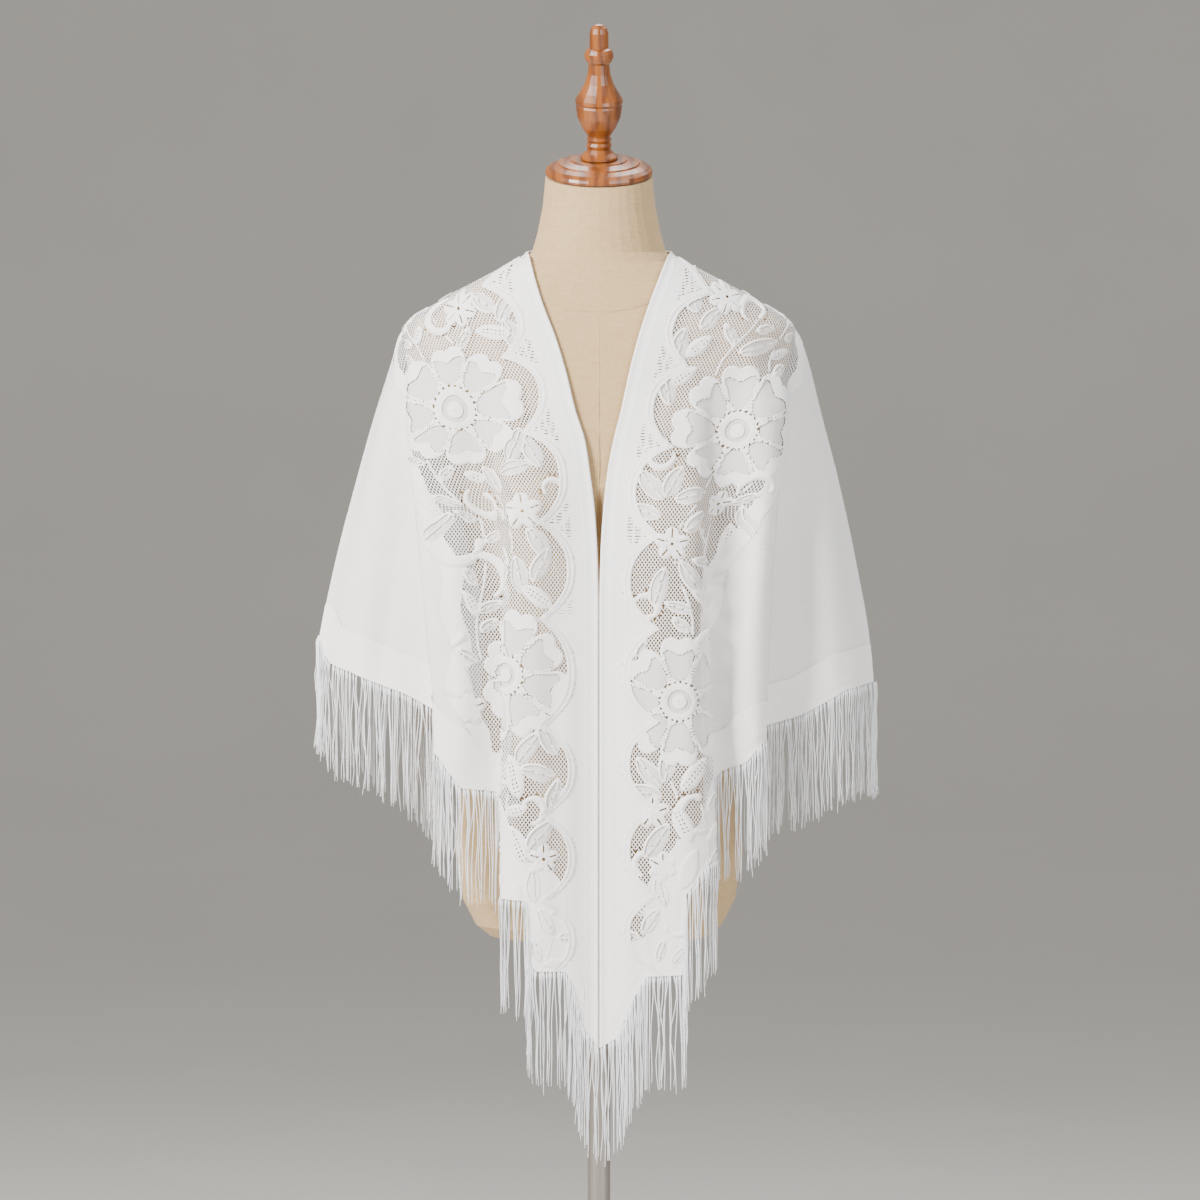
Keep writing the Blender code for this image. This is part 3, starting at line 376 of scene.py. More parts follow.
def shoulder_z(x):
    """Height of the cloth's shoulder line at half width x."""
    xs = column(SHOULDER_ROWS, SHOULDER_COLUMNS, "x")
    zs = column(SHOULDER_ROWS, SHOULDER_COLUMNS, "z")
    return np.interp(x, xs, zs)


def unit(v):
    """Vectors made one long."""
    size = np.sqrt((v ** 2).sum(-1, keepdims=True))
    return v / np.maximum(size, 1e-9)


def neck_slant(angle):
    """Cosine and sine of an angle round the back of the neck, and the slant of the cloth there."""
    c = np.cos(np.radians(angle))
    s = np.sin(np.radians(angle))
    return c, s, np.array((RIDGE_SLANT * c, BACK_SLANT * s, -RIDGE_DROP * c - BACK_DROP * s))


def neck_point(angle, out):
    """Point round the back of the neck, some millimetres out from the shawl's inner edge."""
    c, s, slant = neck_slant(angle)
    inner_z = float(shoulder_z(NECK_EDGE_X)) + NECK_BACK_RISE * s
    inner = np.array((NECK_EDGE_X * c, NECK_BACK_Y * s, inner_z))
    point = inner + slant / np.sqrt((slant ** 2).sum()) * out
    return push_clear(point, CLOTH_MID) if angle > 0 else point


def neck_normal(angle):
    """Direction across the cloth round the back of the neck."""
    c, s, slant = neck_slant(angle)
    along = np.array((-NECK_EDGE_X * s, NECK_BACK_Y * c, NECK_BACK_RISE * c))
    normal = np.cross(slant, along)
    return normal / np.sqrt((normal ** 2).sum())


# Heights of the long edge at its lower end and beside the neck.
EDGE_FOOT = 563.0
NECK_TOP = 1360.0

# Heights and contour distances of the tables that the pieces are read from.
LEVEL_STEP = 4.0
RUN_STEP = 2.0
LEVELS = np.arange(540.0, 1386.1, LEVEL_STEP)
RUNS = np.arange(0.0, 560.1, RUN_STEP)

# Grids that the pieces are cut from: their steps, and how far they reach up and away from the edge.
LACE_STEP = 1.5
LACE_FOOT = 548.0
LACE_TOP = 1384.0
LACE_NEAR = 13.0
LACE_FAR = 206.0
BACK_LACE_STEP = 2.1
BACK_LACE_FOOT = 1150.0
BACK_LACE_FAR = 260.0
PLAIN_STEPS = (6.0, 4.2)
BORDER_STEP = 3.0
CLOTH_FAR = 556.0

# Plain cloth starts under the edge band, and runs on under the lace's uneven end.
BAND_COVER = 15.0
LACE_UNDER = 8.0
LACE_OVER = 22.0
BACK_LACE = 150.0
RIDGE_STRIP = 3.5
RIDGE_LACE = 1290.0
RIDGE_TOP = 1380.0

# Depth of the hem border, and the pitch of the fringe strands at the front and at the back.
HEM_BORDER = 39.0
FRONT_PITCH = 2.3
BACK_PITCH = 2.5

# Net: half width of its threads, their pitch and their slope.
NET_HALF = 0.38
NET_PITCH = 3.7
NET_SLOPE = 1.35

# Heights of the scallop cusps along each front edge.
CUSPS = {1: (640.0, 716.0, 802.0, 888.0, 980.0, 1072.0, 1161.0, 1240.0, 1318.0, 1390.0),
         -1: (632.0, 710.0, 796.0, 884.0, 990.0, 1085.0, 1176.0, 1252.0, 1326.0, 1390.0)}
SCALLOP_NEAR = 25.0
SCALLOP_FAR = 55.0

# Where the lace gives way to plain cloth: distance from the edge against height.
LACE_END = {1: ((560.0, 62.0), (700.0, 100.0), (850.0, 118.0), (980.0, 134.0), (1060.0, 152.0),
                (1120.0, 172.0), (1180.0, 181.0), (1400.0, 181.0)),
            -1: ((560.0, 60.0), (700.0, 104.0), (800.0, 140.0), (900.0, 168.0), (1000.0, 176.0),
                 (1120.0, 181.0), (1400.0, 181.0))}

# Large flowers: x and z in the front view, radius and turn.
FLOWERS = {1: ((137.0, 1176.0, 61.0, 0.20), (78.0, 908.0, 56.0, 0.0)),
           -1: ((-143.0, 1196.0, 62.0, 0.1), (-92.0, 934.0, 58.0, 0.3))}

# Leaves: x and z of the middle, length, width, lean from upright (outwards), kind (0 sheer, 1 dense).
LEAVES = {
    1: ((92.0, 1312.0, 30.0, 15.0, -35.0, 0), (112.0, 1290.0, 26.0, 13.0, 30.0, 0),
        (78.0, 1262.0, 34.0, 14.0, 5.0, 0), (98.0, 1262.0, 28.0, 12.0, 40.0, 1),
        (66.0, 1222.0, 32.0, 14.0, -15.0, 0), (84.0, 1232.0, 26.0, 11.0, 50.0, 1),
        (52.0, 1122.0, 32.0, 15.0, -40.0, 0), (72.0, 1126.0, 30.0, 14.0, 25.0, 0),
        (92.0, 1112.0, 30.0, 14.0, 75.0, 0), (45.0, 1096.0, 28.0, 13.0, -70.0, 0),
        (96.0, 1086.0, 26.0, 12.0, 50.0, 0), (58.0, 1022.0, 32.0, 14.0, 20.0, 0),
        (90.0, 1030.0, 34.0, 14.0, -30.0, 0), (104.0, 1010.0, 30.0, 13.0, -60.0, 1),
        (48.0, 838.0, 30.0, 14.0, -35.0, 0), (44.0, 818.0, 28.0, 13.0, -70.0, 0),
        (66.0, 846.0, 28.0, 13.0, 15.0, 0), (94.0, 836.0, 32.0, 14.0, 45.0, 1),
        (56.0, 770.0, 32.0, 15.0, 40.0, 0), (82.0, 786.0, 30.0, 14.0, -20.0, 1),
        (60.0, 720.0, 26.0, 12.0, -10.0, 0), (88.0, 742.0, 34.0, 15.0, 25.0, 1),
        (50.0, 690.0, 24.0, 12.0, 40.0, 0), (150.0, 1082.0, 44.0, 15.0, -35.0, 0),
        (128.0, 1064.0, 38.0, 14.0, 10.0, 1), (160.0, 1262.0, 40.0, 15.0, 60.0, 0),
        (104.0, 968.0, 34.0, 14.0, 60.0, 1), (40.0, 968.0, 26.0, 12.0, 20.0, 0)),
    -1: ((-70.0, 1322.0, 26.0, 12.0, 30.0, 0), (-92.0, 1304.0, 30.0, 14.0, -40.0, 0),
         (-116.0, 1306.0, 26.0, 12.0, 50.0, 0), (-84.0, 1272.0, 34.0, 15.0, 15.0, 0),
         (-106.0, 1276.0, 28.0, 13.0, 70.0, 1), (-66.0, 1156.0, 32.0, 14.0, 20.0, 0),
         (-84.0, 1162.0, 34.0, 15.0, -25.0, 0), (-84.0, 1140.0, 28.0, 13.0, -75.0, 0),
         (-104.0, 1128.0, 28.0, 13.0, 35.0, 0), (-60.0, 1066.0, 30.0, 14.0, 40.0, 0),
         (-56.0, 1044.0, 30.0, 14.0, -20.0, 0), (-78.0, 1034.0, 32.0, 14.0, 15.0, 0),
         (-60.0, 1012.0, 28.0, 13.0, 60.0, 1), (-50.0, 872.0, 30.0, 14.0, 35.0, 0),
         (-70.0, 862.0, 30.0, 14.0, -30.0, 0), (-60.0, 838.0, 28.0, 13.0, 80.0, 0),
         (-44.0, 816.0, 26.0, 12.0, -15.0, 0), (-84.0, 834.0, 34.0, 15.0, 20.0, 1),
         (-58.0, 776.0, 30.0, 14.0, -35.0, 0), (-80.0, 766.0, 32.0, 14.0, 30.0, 1),
         (-64.0, 726.0, 28.0, 13.0, 10.0, 0), (-52.0, 690.0, 24.0, 12.0, 35.0, 0),
         (-84.0, 712.0, 30.0, 14.0, -15.0, 1), (-176.0, 1112.0, 44.0, 15.0, 10.0, 1),
         (-160.0, 1080.0, 40.0, 15.0, -40.0, 0), (-136.0, 928.0, 38.0, 14.0, 20.0, 1),
         (-190.0, 1240.0, 40.0, 14.0, 20.0, 0), (-140.0, 858.0, 34.0, 14.0, -30.0, 0)),
}

# Small flowers: x and z, radius and number of petals.
POSIES = {1: ((72.0, 1064.0, 15.0, 5), (128.0, 1312.0, 17.0, 6), (52.0, 798.0, 14.0, 5),
              (62.0, 744.0, 13.0, 6), (118.0, 1104.0, 13.0, 5)),
          -1: ((-74.0, 1096.0, 17.0, 5), (-140.0, 1300.0, 16.0, 6), (-128.0, 900.0, 15.0, 5),
               (-58.0, 900.0, 14.0, 6), (-54.0, 752.0, 13.0, 5))}

# Leaves and small flowers of the back, placed by distance along and away from the neck edge.
BACK_LEAVES = ((18.0, 84.0, 32.0, 14.0, 60.0, 0), (54.0, 76.0, 30.0, 14.0, -50.0, 0),
               (86.0, 92.0, 32.0, 14.0, 30.0, 0), (128.0, 78.0, 30.0, 14.0, -40.0, 0),
               (168.0, 96.0, 32.0, 14.0, 20.0, 0), (200.0, 76.0, 28.0, 13.0, -30.0, 0),
               (32.0, 134.0, 36.0, 15.0, 20.0, 1), (150.0, 132.0, 36.0, 15.0, -20.0, 1))
BACK_POSIES = ((36.0, 106.0, 17.0, 6), (70.0, 118.0, 15.0, 5), (182.0, 124.0, 16.0, 6))

# Scrolls: x and z of the middle, radius, start and sweep of the arc in degrees, greatest width.
SCROLLS = {
    1: ((158.0, 1300.0, 14.0, 200.0, 290.0, 7.0), (102.0, 1336.0, 13.0, 120.0, 230.0, 6.0),
        (58.0, 1150.0, 12.0, 60.0, 220.0, 6.0), (112.0, 1046.0, 20.0, 80.0, 190.0, 8.0),
        (128.0, 1004.0, 26.0, 200.0, 170.0, 9.0), (96.0, 800.0, 18.0, 150.0, 220.0, 8.0),
        (46.0, 1000.0, 12.0, 300.0, 230.0, 6.0), (74.0, 690.0, 16.0, 20.0, 210.0, 7.0),
        (160.0, 1118.0, 18.0, 250.0, 200.0, 8.0), (46.0, 748.0, 11.0, 200.0, 220.0, 5.0)),
    -1: ((-112.0, 1104.0, 15.0, 30.0, 290.0, 8.0), (-138.0, 1070.0, 30.0, 60.0, 190.0, 11.0),
         (-116.0, 1036.0, 22.0, 200.0, 180.0, 9.0), (-160.0, 1290.0, 15.0, 340.0, 280.0, 7.0),
         (-190.0, 1180.0, 15.0, 90.0, 230.0, 8.0), (-150.0, 984.0, 26.0, 30.0, 200.0, 10.0),
         (-46.0, 1118.0, 10.0, 240.0, 230.0, 5.0), (-104.0, 800.0, 18.0, 20.0, 210.0, 8.0),
         (-66.0, 802.0, 12.0, 180.0, 230.0, 6.0), (-158.0, 900.0, 20.0, 250.0, 190.0, 8.0)),
}

# Soft creases of the outer cloth: top and low points (x, z), reach across, height, and first place.
CREASES = {
    1: ((196.0, 1270.0, 236.0, 960.0, 13.0, 3.4, 4.2), (192.0, 1262.0, 214.0, 930.0, 10.0, -2.6, 4.2),
        (205.0, 1230.0, 258.0, 940.0, 9.0, 2.2, 4.2), (150.0, 1290.0, 152.0, 900.0, 14.0, 3.2, 1.2),
        (170.0, 1200.0, 136.0, 880.0, 9.0, 2.0, 1.2), (96.0, 1250.0, 84.0, 780.0, 13.0, 2.6, 0.1),
        (60.0, 1190.0, 46.0, 700.0, 10.0, 1.8, 0.1), (116.0, 1180.0, 100.0, 900.0, 8.0, -1.4, 0.1),
        (30.0, 980.0, 28.0, 620.0, 12.0, 2.2, 0.1), (130.0, 1310.0, 176.0, 1150.0, 12.0, 2.4, 0.1)),
    -1: ((196.0, 1270.0, 240.0, 970.0, 12.0, 3.2, 4.2), (194.0, 1255.0, 218.0, 950.0, 11.0, -2.8, 4.2),
         (206.0, 1225.0, 262.0, 960.0, 10.0, 2.4, 4.2), (140.0, 1290.0, 136.0, 880.0, 15.0, 3.4, 1.2),
         (172.0, 1200.0, 150.0, 870.0, 9.0, -1.8, 1.2), (92.0, 1240.0, 72.0, 760.0, 14.0, 2.8, 0.1),
         (62.0, 1180.0, 50.0, 690.0, 11.0, 2.0, 0.1), (112.0, 1170.0, 88.0, 880.0, 9.0, -1.6, 0.1),
         (28.0, 960.0, 24.0, 610.0, 12.0, 2.0, 0.1), (124.0, 1312.0, 168.0, 1140.0, 12.0, 2.0, 0.1)),
}


def crease_rise(side, x, z, places):
    """Height of the soft creases over the cloth at points of the front view."""
    out = np.zeros_like(x)
    for x1, z1, x2, z2, reach, rise, first in CREASES[side]:
        t = np.clip((z1 - z) / (z1 - z2), 0.0, 1.0)
        bend = 6.0 * np.sin(t * np.pi) * np.sign(rise)
        off = x - (x1 + (x2 - x1) * t + bend)
        fade = ease((z1 - z) / 60.0) * ease((z - z2 + 60.0) / 60.0)
        out += rise * np.exp(-(off / reach) ** 2) * fade * ease((places - first + 0.1) / 0.1)
    return out


def sheet_normals(points, flip):
    """Outward direction over a table of points, taken from below where the ridge squeezes them."""
    down = np.gradient(points, axis=0)
    across = np.gradient(points, axis=1)
    normal = np.cross(down, across)
    size = np.sqrt((normal ** 2).sum(-1))
    normal = normal / np.maximum(size, 1e-9)[..., None] * flip
    bad = size < 0.02
    for k in range(1, len(points)):
        normal[k][bad[k]] = normal[k - 1][bad[k]]
    return normal


def by_run(points, normals, places, valid, hem_z):
    """Tables of the sheet read at even distances along each level contour."""
    step = np.sqrt((np.diff(points, axis=1) ** 2).sum(-1))
    run = np.concatenate([np.zeros((len(points), 1)), np.cumsum(step, axis=1)], axis=1)
    shape = (len(points), len(RUNS))
    out = {"p": np.zeros(shape + (3,)), "n": np.zeros(shape + (3,)), "place": np.zeros(shape)}
    out["end"] = np.zeros(len(points))
    for k in range(len(points)):
        r = run[k] + np.arange(run.shape[1]) * 1e-7
        for axis in range(3):
            out["p"][k, :, axis] = np.interp(RUNS, r, points[k, :, axis])
            out["n"][k, :, axis] = np.interp(RUNS, r, normals[k, :, axis])
        out["place"][k] = np.interp(RUNS, r, places)
        if valid[k].any():
            out["end"][k] = r[min(int(np.flatnonzero(valid[k]).max()) + 1, len(r) - 1)]
    out["n"] = unit(out["n"])
    out["places"] = places
    out["hem_z"] = hem_z
    return out


def read_hem(rows, places):
    """Height of a hem at places along the folds."""
    return np.interp(places, column(rows, HEM_COLUMNS, "place"), column(rows, HEM_COLUMNS, "z"))


def read_plans(plans, z):
    """X and Y of every column of the plans, at its own heights."""
    return [np.stack([np.interp(z[:, j], LEVELS, plans[:, j, axis]) for j in range(z.shape[1])], axis=1)
            for axis in (0, 1)]


def front_sheet(side):
    """Finely sampled cloth of one front, on the form of its solid."""
    marks = (0.0, 0.95, 1.0, 1.05, 1.95, 2.0, 2.05, 2.95, 3.0, 3.05, 3.95, 4.0, 4.05, 5.0, 6.0)
    fractions = [[i / n for i in range(n)] for n in FRONT_SPLITS]
    places = [marks[k] + (marks[k + 1] - marks[k]) * f for k in range(14) for f in fractions[k]]
    places = np.array(places + [6.0])
    ridge = np.array([(x, 0.0) for x in FRONT_TOPS])
    tops = plan_curve(ridge, fractions)[:, 0]
    top_z = shoulder_z(tops)
    plans = np.array([plan_curve(front_section(z, side), fractions) for z in LEVELS])
    hem_z = read_hem(HEMS[side], places)
    z = np.minimum(LEVELS[:, None], top_z[None, :])
    x, y = read_plans(plans, z)
    drop = BLEND_DROP * np.clip((6.0 - places) / 3.0, 0.02, 1.0)
    near_edge = np.clip(1.0 - (places - 0.122) / 0.5, 0.0, 1.0)
    x = tops + (x - tops) * np.maximum(ease((top_z - z) / drop), near_edge)
    y = y * ease((top_z - z) / 30.0)
    points = hug(np.stack([x, y, z], axis=-1), CLOTH_MID, -1)
    above = LEVELS[:, None] >= top_z[None, :]
    points[..., 1] = np.where(above, 0.0, points[..., 1])
    points[..., 0] = np.where(above, tops[None, :], points[..., 0])
    normals = sheet_normals(points, -1.0)
    rise = crease_rise(side, points[..., 0], points[..., 2], np.broadcast_to(places, z.shape))
    rise = rise * ease((top_z - z) / 40.0) * ease((6.0 - places) / 0.5)
    points = points + normals * rise[..., None]
    points[..., 1] = np.minimum(points[..., 1], 0.0)
    normals = sheet_normals(points, -1.0)
    points[..., 0] *= side
    normals[..., 0] *= side
    return add_flat(by_run(points, normals, places, ~above, hem_z), side)


def back_sheet(side):
    """Finely sampled cloth of half the back, from the middle (place 7) to the outer sleeve line (0)."""
    fractions = [[i / BACK_SPLIT for i in range(BACK_SPLIT)]] * 7
    places = np.linspace(0, 7, 7 * BACK_SPLIT + 1)
    hem_top = HEMS[side][-1][1]
    hem_z = hem_top + read_hem(BACK_HEM, places)
    hem_z = hem_z + (BACK_HEM_TOP - hem_top) * np.clip(places / 2, 0, 1)
    tops = [(x, 0.0, float(shoulder_z(x))) for x in BACK_TOPS]
    for angle in (0.0, 45.0, 90.0):
        tops.append(tuple(neck_point(angle, BAND_WIDTH + SEAM_GAP)))
    tops = plan_curve(np.array(tops), fractions)
    for step in range(NECK_STEPS + 1):
        angle = 90.0 * step / NECK_STEPS
        tops[len(tops) - 1 - NECK_STEPS + step] = neck_point(angle, BAND_WIDTH + SEAM_GAP)
    plans = []
    for z in LEVELS:
        line = [(read_table(SLEEVE_ROWS, SLEEVE_COLUMNS, WORDS[side], z), 0.0)]
        for k in range(1, 7):
            line.append((read_table(BACK_ROWS, BACK_COLUMNS, "x%d" % k, z),
                         read_table(BACK_ROWS, BACK_COLUMNS, "y%d" % k, z)))
        line.append((0.0, read_table(BACK_ROWS, BACK_COLUMNS, "y7", z)))
        plans.append(plan_curve(np.array(line), fractions))
    plans = np.array(plans)
    z = np.minimum(LEVELS[:, None], tops[None, :, 2])
    x, y = read_plans(plans, z)
    fall = tops[:, 2] - z
    drop = BLEND_DROP * np.clip(places / 3.0, 0.02, 1.0)
    x = tops[:, 0] + (x - tops[:, 0]) * ease(fall / drop)
    y = tops[:, 1] + (y - tops[:, 1]) * ease(fall / 40.0)
    points = hug(np.stack([x, y, z], axis=-1), CLOTH_MID, 1)
    above = LEVELS[:, None] >= tops[None, :, 2]
    points = np.where(above[..., None], tops[None], points)
    normals = sheet_normals(points, 1.0)
    wave = np.sin(points[..., 0] / 17.0 + 1.3 * np.sin(points[..., 2] / 90.0)) * 1.8
    wave = wave + np.sin(points[..., 0] / 31.0 - points[..., 2] / 160.0) * 1.6
    wave = wave * ease(fall / 90.0) * ease(places / 1.0) * ease((7.0 - places) / 0.6)
    points = points + normals * wave[..., None]
    points[..., 1] = np.maximum(points[..., 1], 0.0)
    normals = sheet_normals(points, 1.0)
    points = points[:, ::-1].copy()
    normals = normals[:, ::-1].copy()
    points[..., 0] *= side
    normals[..., 0] *= side
    sheet = by_run(points, normals, places[::-1], ~above[:, ::-1], hem_z[::-1])
    sheet["side"] = side
    return sheet


def read_sheet(sheet, z, run, name):
    """Read one table of a sheet at heights z and contour distances run."""
    fz = np.clip((z - LEVELS[0]) / LEVEL_STEP, 0.0, len(LEVELS) - 1.001)
    fr = np.clip(run / RUN_STEP, 0.0, len(RUNS) - 1.001)
    i = fz.astype(int)
    j = fr.astype(int)
    s = fz - i
    t = fr - j
    table = sheet[name]
    if table.ndim == 3:
        s = s[..., None]
        t = t[..., None]
    low = table[i, j] * (1 - t) + table[i, j + 1] * t
    high = table[i + 1, j] * (1 - t) + table[i + 1, j + 1] * t
    return low * (1 - s) + high * s


def stand_off(sheet, z, run, lift):
    """Points that stand off a sheet by lift."""
    return read_sheet(sheet, z, run, "p") + read_sheet(sheet, z, run, "n") * lift


def hem_height(sheet, z, run):
    """Height of the hem under a point of the cloth."""
    place = read_sheet(sheet, z, run, "place")
    order = np.argsort(sheet["places"])
    return np.interp(place, sheet["places"][order], sheet["hem_z"][order])


def trim(sheet, z, run):
    """Above zero on the cloth, below zero past its hem or its ridge."""
    end = np.interp(z, LEVELS, sheet["end"])
    return np.minimum(z - hem_height(sheet, z, run), end - run)


def add_flat(sheet, side):
    """Add the flat cut: length along the long edge and the slant of that edge against height."""
    edge = sheet["p"][:, 0]
    step = np.sqrt((np.diff(edge, axis=0) ** 2).sum(-1))
    length = np.concatenate([[0.0], np.cumsum(step)])
    length = length - np.interp(EDGE_FOOT, LEVELS, length)
    slant = np.gradient(edge[:, 0] * side) / np.maximum(np.gradient(length), 1e-6)
    slant = np.convolve(np.pad(slant, 6, mode="edge"), np.ones(13) / 13, mode="valid")
    sheet["length"] = length
    sheet["slant"] = np.clip(slant, 0.0, 0.6)
    sheet["side"] = side
    return sheet


def flat_place(sheet, z, run):
    """Flat coordinates of a point of a front: along the long edge, and away from it."""
    lean = np.interp(z, LEVELS, sheet["slant"])
    along = np.interp(z, LEVELS, sheet["length"]) + run * lean
    return along, run * np.sqrt(1 - lean ** 2)


def spot(sheet, x, z):
    """Flat coordinates of the outermost cloth at a point of the front view."""
    level = int(round((z - LEVELS[0]) / LEVEL_STEP))
    across = sheet["p"][level, :, 0] * sheet["side"]
    hit = np.argmax(across >= abs(x))
    run = RUNS[hit]
    along, away = flat_place(sheet, np.array(float(z)), np.array(float(run)))
    return float(along), float(away)


def add_mesh(name, points, faces, material, uv=None, smooth=True):
    """Mesh object from millimetre points and faces, on the scene, riding on the part's body."""
    mesh = bpy.data.meshes.new(name)
    mesh.from_pydata((points * MM).tolist(), [], faces)
    mesh.materials.append(material)
    if smooth:
        mesh.polygons.foreach_set("use_smooth", [True] * len(mesh.polygons))
    if uv is not None:
        layer = mesh.uv_layers.new(name="flat")
        index = np.zeros(len(mesh.loops), dtype=np.int32)
        mesh.loops.foreach_get("vertex_index", index)
        layer.data.foreach_set("uv", (uv[index] * MM).astype(np.float32).ravel())
    mesh.update()
    obj = bpy.data.objects.new(name, mesh)
    bpy.context.scene.collection.objects.link(obj)
    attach(obj, "root")
    return obj


def contour_faces(inside):
    """Faces and crossing points of the region above zero on a grid, with smooth outlines."""
    rows, cols = inside.shape
    sign = inside > 0
    corner = np.arange(rows * cols).reshape(rows, cols)
    rise = rows * cols + np.arange((rows - 1) * cols).reshape(rows - 1, cols)
    flat = rows * cols + (rows - 1) * cols + np.arange(rows * (cols - 1)).reshape(rows, cols - 1)
    corners = (corner[:-1, :-1], corner[1:, :-1], corner[1:, 1:], corner[:-1, 1:])
    edges = (rise[:, :-1], flat[1:, :], rise[:, 1:], flat[:-1, :])
    signs = (sign[:-1, :-1], sign[1:, :-1], sign[1:, 1:], sign[:-1, 1:])
    case = sum(s.astype(int) << k for k, s in enumerate(signs))
    faces = []
    for number in range(1, 16):
        here = case == number
        if not here.any():
            continue
        parts = []
        for k in range(4):
            now = (number >> k) & 1
            then = (number >> ((k + 1) % 4)) & 1
            if now:
                parts.append(corners[k][here])
            if now != then:
                parts.append(edges[k][here])
        faces += np.stack(parts, axis=1).tolist()
    return faces


def grid_faces(rows, cols, flip=False):
    """Faces over a grid of points, row by row."""
    quads = [(a, a + 1, a + cols + 1, a + cols)
             for i in range(rows - 1) for a in range(i * cols, i * cols + cols - 1)]
    return [quad[::-1] for quad in quads] if flip else quads


def cut_cloth(name, sheet, zs, runs, inside, lift, material, flip):
    """Thin sheet over the region above zero, standing off by lift."""
    faces = contour_faces(inside)
    zz, rr = np.meshgrid(zs, runs, indexing="ij")
    near = np.where(np.abs(inside) < 1e-9, 1e-9, inside)

    def cross(low, high, v0, v1):
        t = np.clip(v0 / (v0 - v1 + 1e-12), 0.02, 0.98)
        return (low + (high - low) * t).ravel()

    z, r, h = [np.concatenate([grid.ravel(), cross(grid[:-1], grid[1:], near[:-1], near[1:]),
                               cross(grid[:, :-1], grid[:, 1:], near[:, :-1], near[:, 1:])])
               for grid in (zz, rr, lift)]
    used = np.unique(np.concatenate([np.array(f) for f in faces])) if faces else np.array([0])
    index = np.full(len(z), -1)
    index[used] = np.arange(len(used))
    z, r, h = z[used], r[used], h[used]
    points = stand_off(sheet, z, r, h[:, None])
    faces = [index[f[::-1] if flip else f].tolist() for f in map(np.array, faces)]
    return add_mesh(name, points, faces, material, np.stack([r, z], axis=1))


def new_field(along, away):
    """Empty lace pattern over flat coordinates."""
    low = np.full(along.shape, -9.0)
    return {"a": along, "b": away, "dense": low.copy(), "veil": low.copy(), "open": low.copy(),
            "lift": np.zeros(along.shape)}


def window(field, a, b, reach):
    """Slices round the points within reach of a place."""
    near = (np.abs(field["a"] - a) < reach) & (np.abs(field["b"] - b) < reach)
    rows = np.where(near.any(axis=1))[0]
    cols = np.where(near.any(axis=0))[0]
    if len(rows) == 0:
        return None
    return (slice(rows[0], rows[-1] + 1), slice(cols[0], cols[-1] + 1))


def lay(field, w, f, lift):
    """Add dense lace where f is above zero."""
    field["dense"][w] = np.maximum(field["dense"][w], f)
    field["veil"][w] = np.minimum(field["veil"][w], -f)
    field["open"][w] = np.minimum(field["open"][w], -f)
    field["lift"][w] = np.maximum(field["lift"][w] * (f < 0.5), lift * ease(f / 2.6))


def pierce(field, w, f):
    """Cut an open hole where f is above zero."""
    field["dense"][w] = np.minimum(field["dense"][w], -f)
    field["veil"][w] = np.minimum(field["veil"][w], -f)
    field["open"][w] = np.maximum(field["open"][w], f)


def thin(field, w, f):
    """Make lace sheer where f is above zero."""
    field["dense"][w] = np.minimum(field["dense"][w], -f)
    field["veil"][w] = np.maximum(field["veil"][w], f)


def dots(field, points, radius):
    """Small open holes."""
    for a, b in points:
        w = window(field, a, b, radius + 2.5)
        if w is not None:
            pierce(field, w, radius - np.hypot(field["a"][w] - a, field["b"][w] - b))


def leaf(field, a, b, long, wide, lean, dense):
    """Leaf with a raised outline and vein, sheer or dense between them."""
    w = window(field, a, b, long * 0.6 + 3)
    if w is None:
        return
    c = np.cos(np.radians(lean))
    s = np.sin(np.radians(lean))
    da = field["a"][w] - a
    db = field["b"][w] - b
    u = da * c + db * s
    v = -da * s + db * c + 1.2 * np.sin(u / long * 4.0)
    half = wide / 2 * np.clip(1 - (2 * u / long) ** 2, 0, 1) ** 0.7 * (1 - 0.25 * u / long)
    over = np.maximum(np.abs(u) - long / 2, 0.0)
    f = np.where(over > 0, -over - np.abs(v) * 0.5, half - np.abs(v))
    lay(field, w, f, 1.5)
    inner = f - 2.2
    if dense:
        slit = np.minimum(inner - 0.6, 1.0 - np.abs(np.abs(v) - 1.9))
        dash = np.sin(u * 1.5) * 1.2
        pierce(field, w, np.minimum(slit, dash))
    else:
        vein = np.abs(v) - 0.9
        thin(field, w, np.minimum(inner, vein))
        dots(field, [(a + c * k, b + s * k) for k in (-long * 0.16, long * 0.12)], 1.25)


def scroll(field, a, b, radius, start, sweep, wide):
    """Curled scroll: an arc that swells in its middle, with a dotted outline."""
    w = window(field, a, b, radius + wide + 5)
    if w is None:
        return
    t = np.linspace(0, 1, 34)
    angle = np.radians(start + sweep * t)
    reach = radius * (1 - 0.42 * t)
    pa = a + reach * np.cos(angle)
    pb = b + reach * np.sin(angle)
    half = wide / 2 * (0.35 + 0.65 * np.sin(np.pi * np.clip(t * 1.05, 0, 1)))
    half[-5:] = np.linspace(half[-5], wide * 0.38, 5)
    f = np.full(field["a"][w].shape, -9.0)
    for k in range(len(t)):
        f = np.maximum(f, half[k] - np.hypot(field["a"][w] - pa[k], field["b"][w] - pb[k]))
    lay(field, w, f, 2.0)
    holes = []
    for k in range(2, len(t), 3):
        out = half[k] + 1.7
        holes.append((pa[k] + np.cos(angle[k]) * out, pb[k] + np.sin(angle[k]) * out))
    dots(field, holes, 1.15)


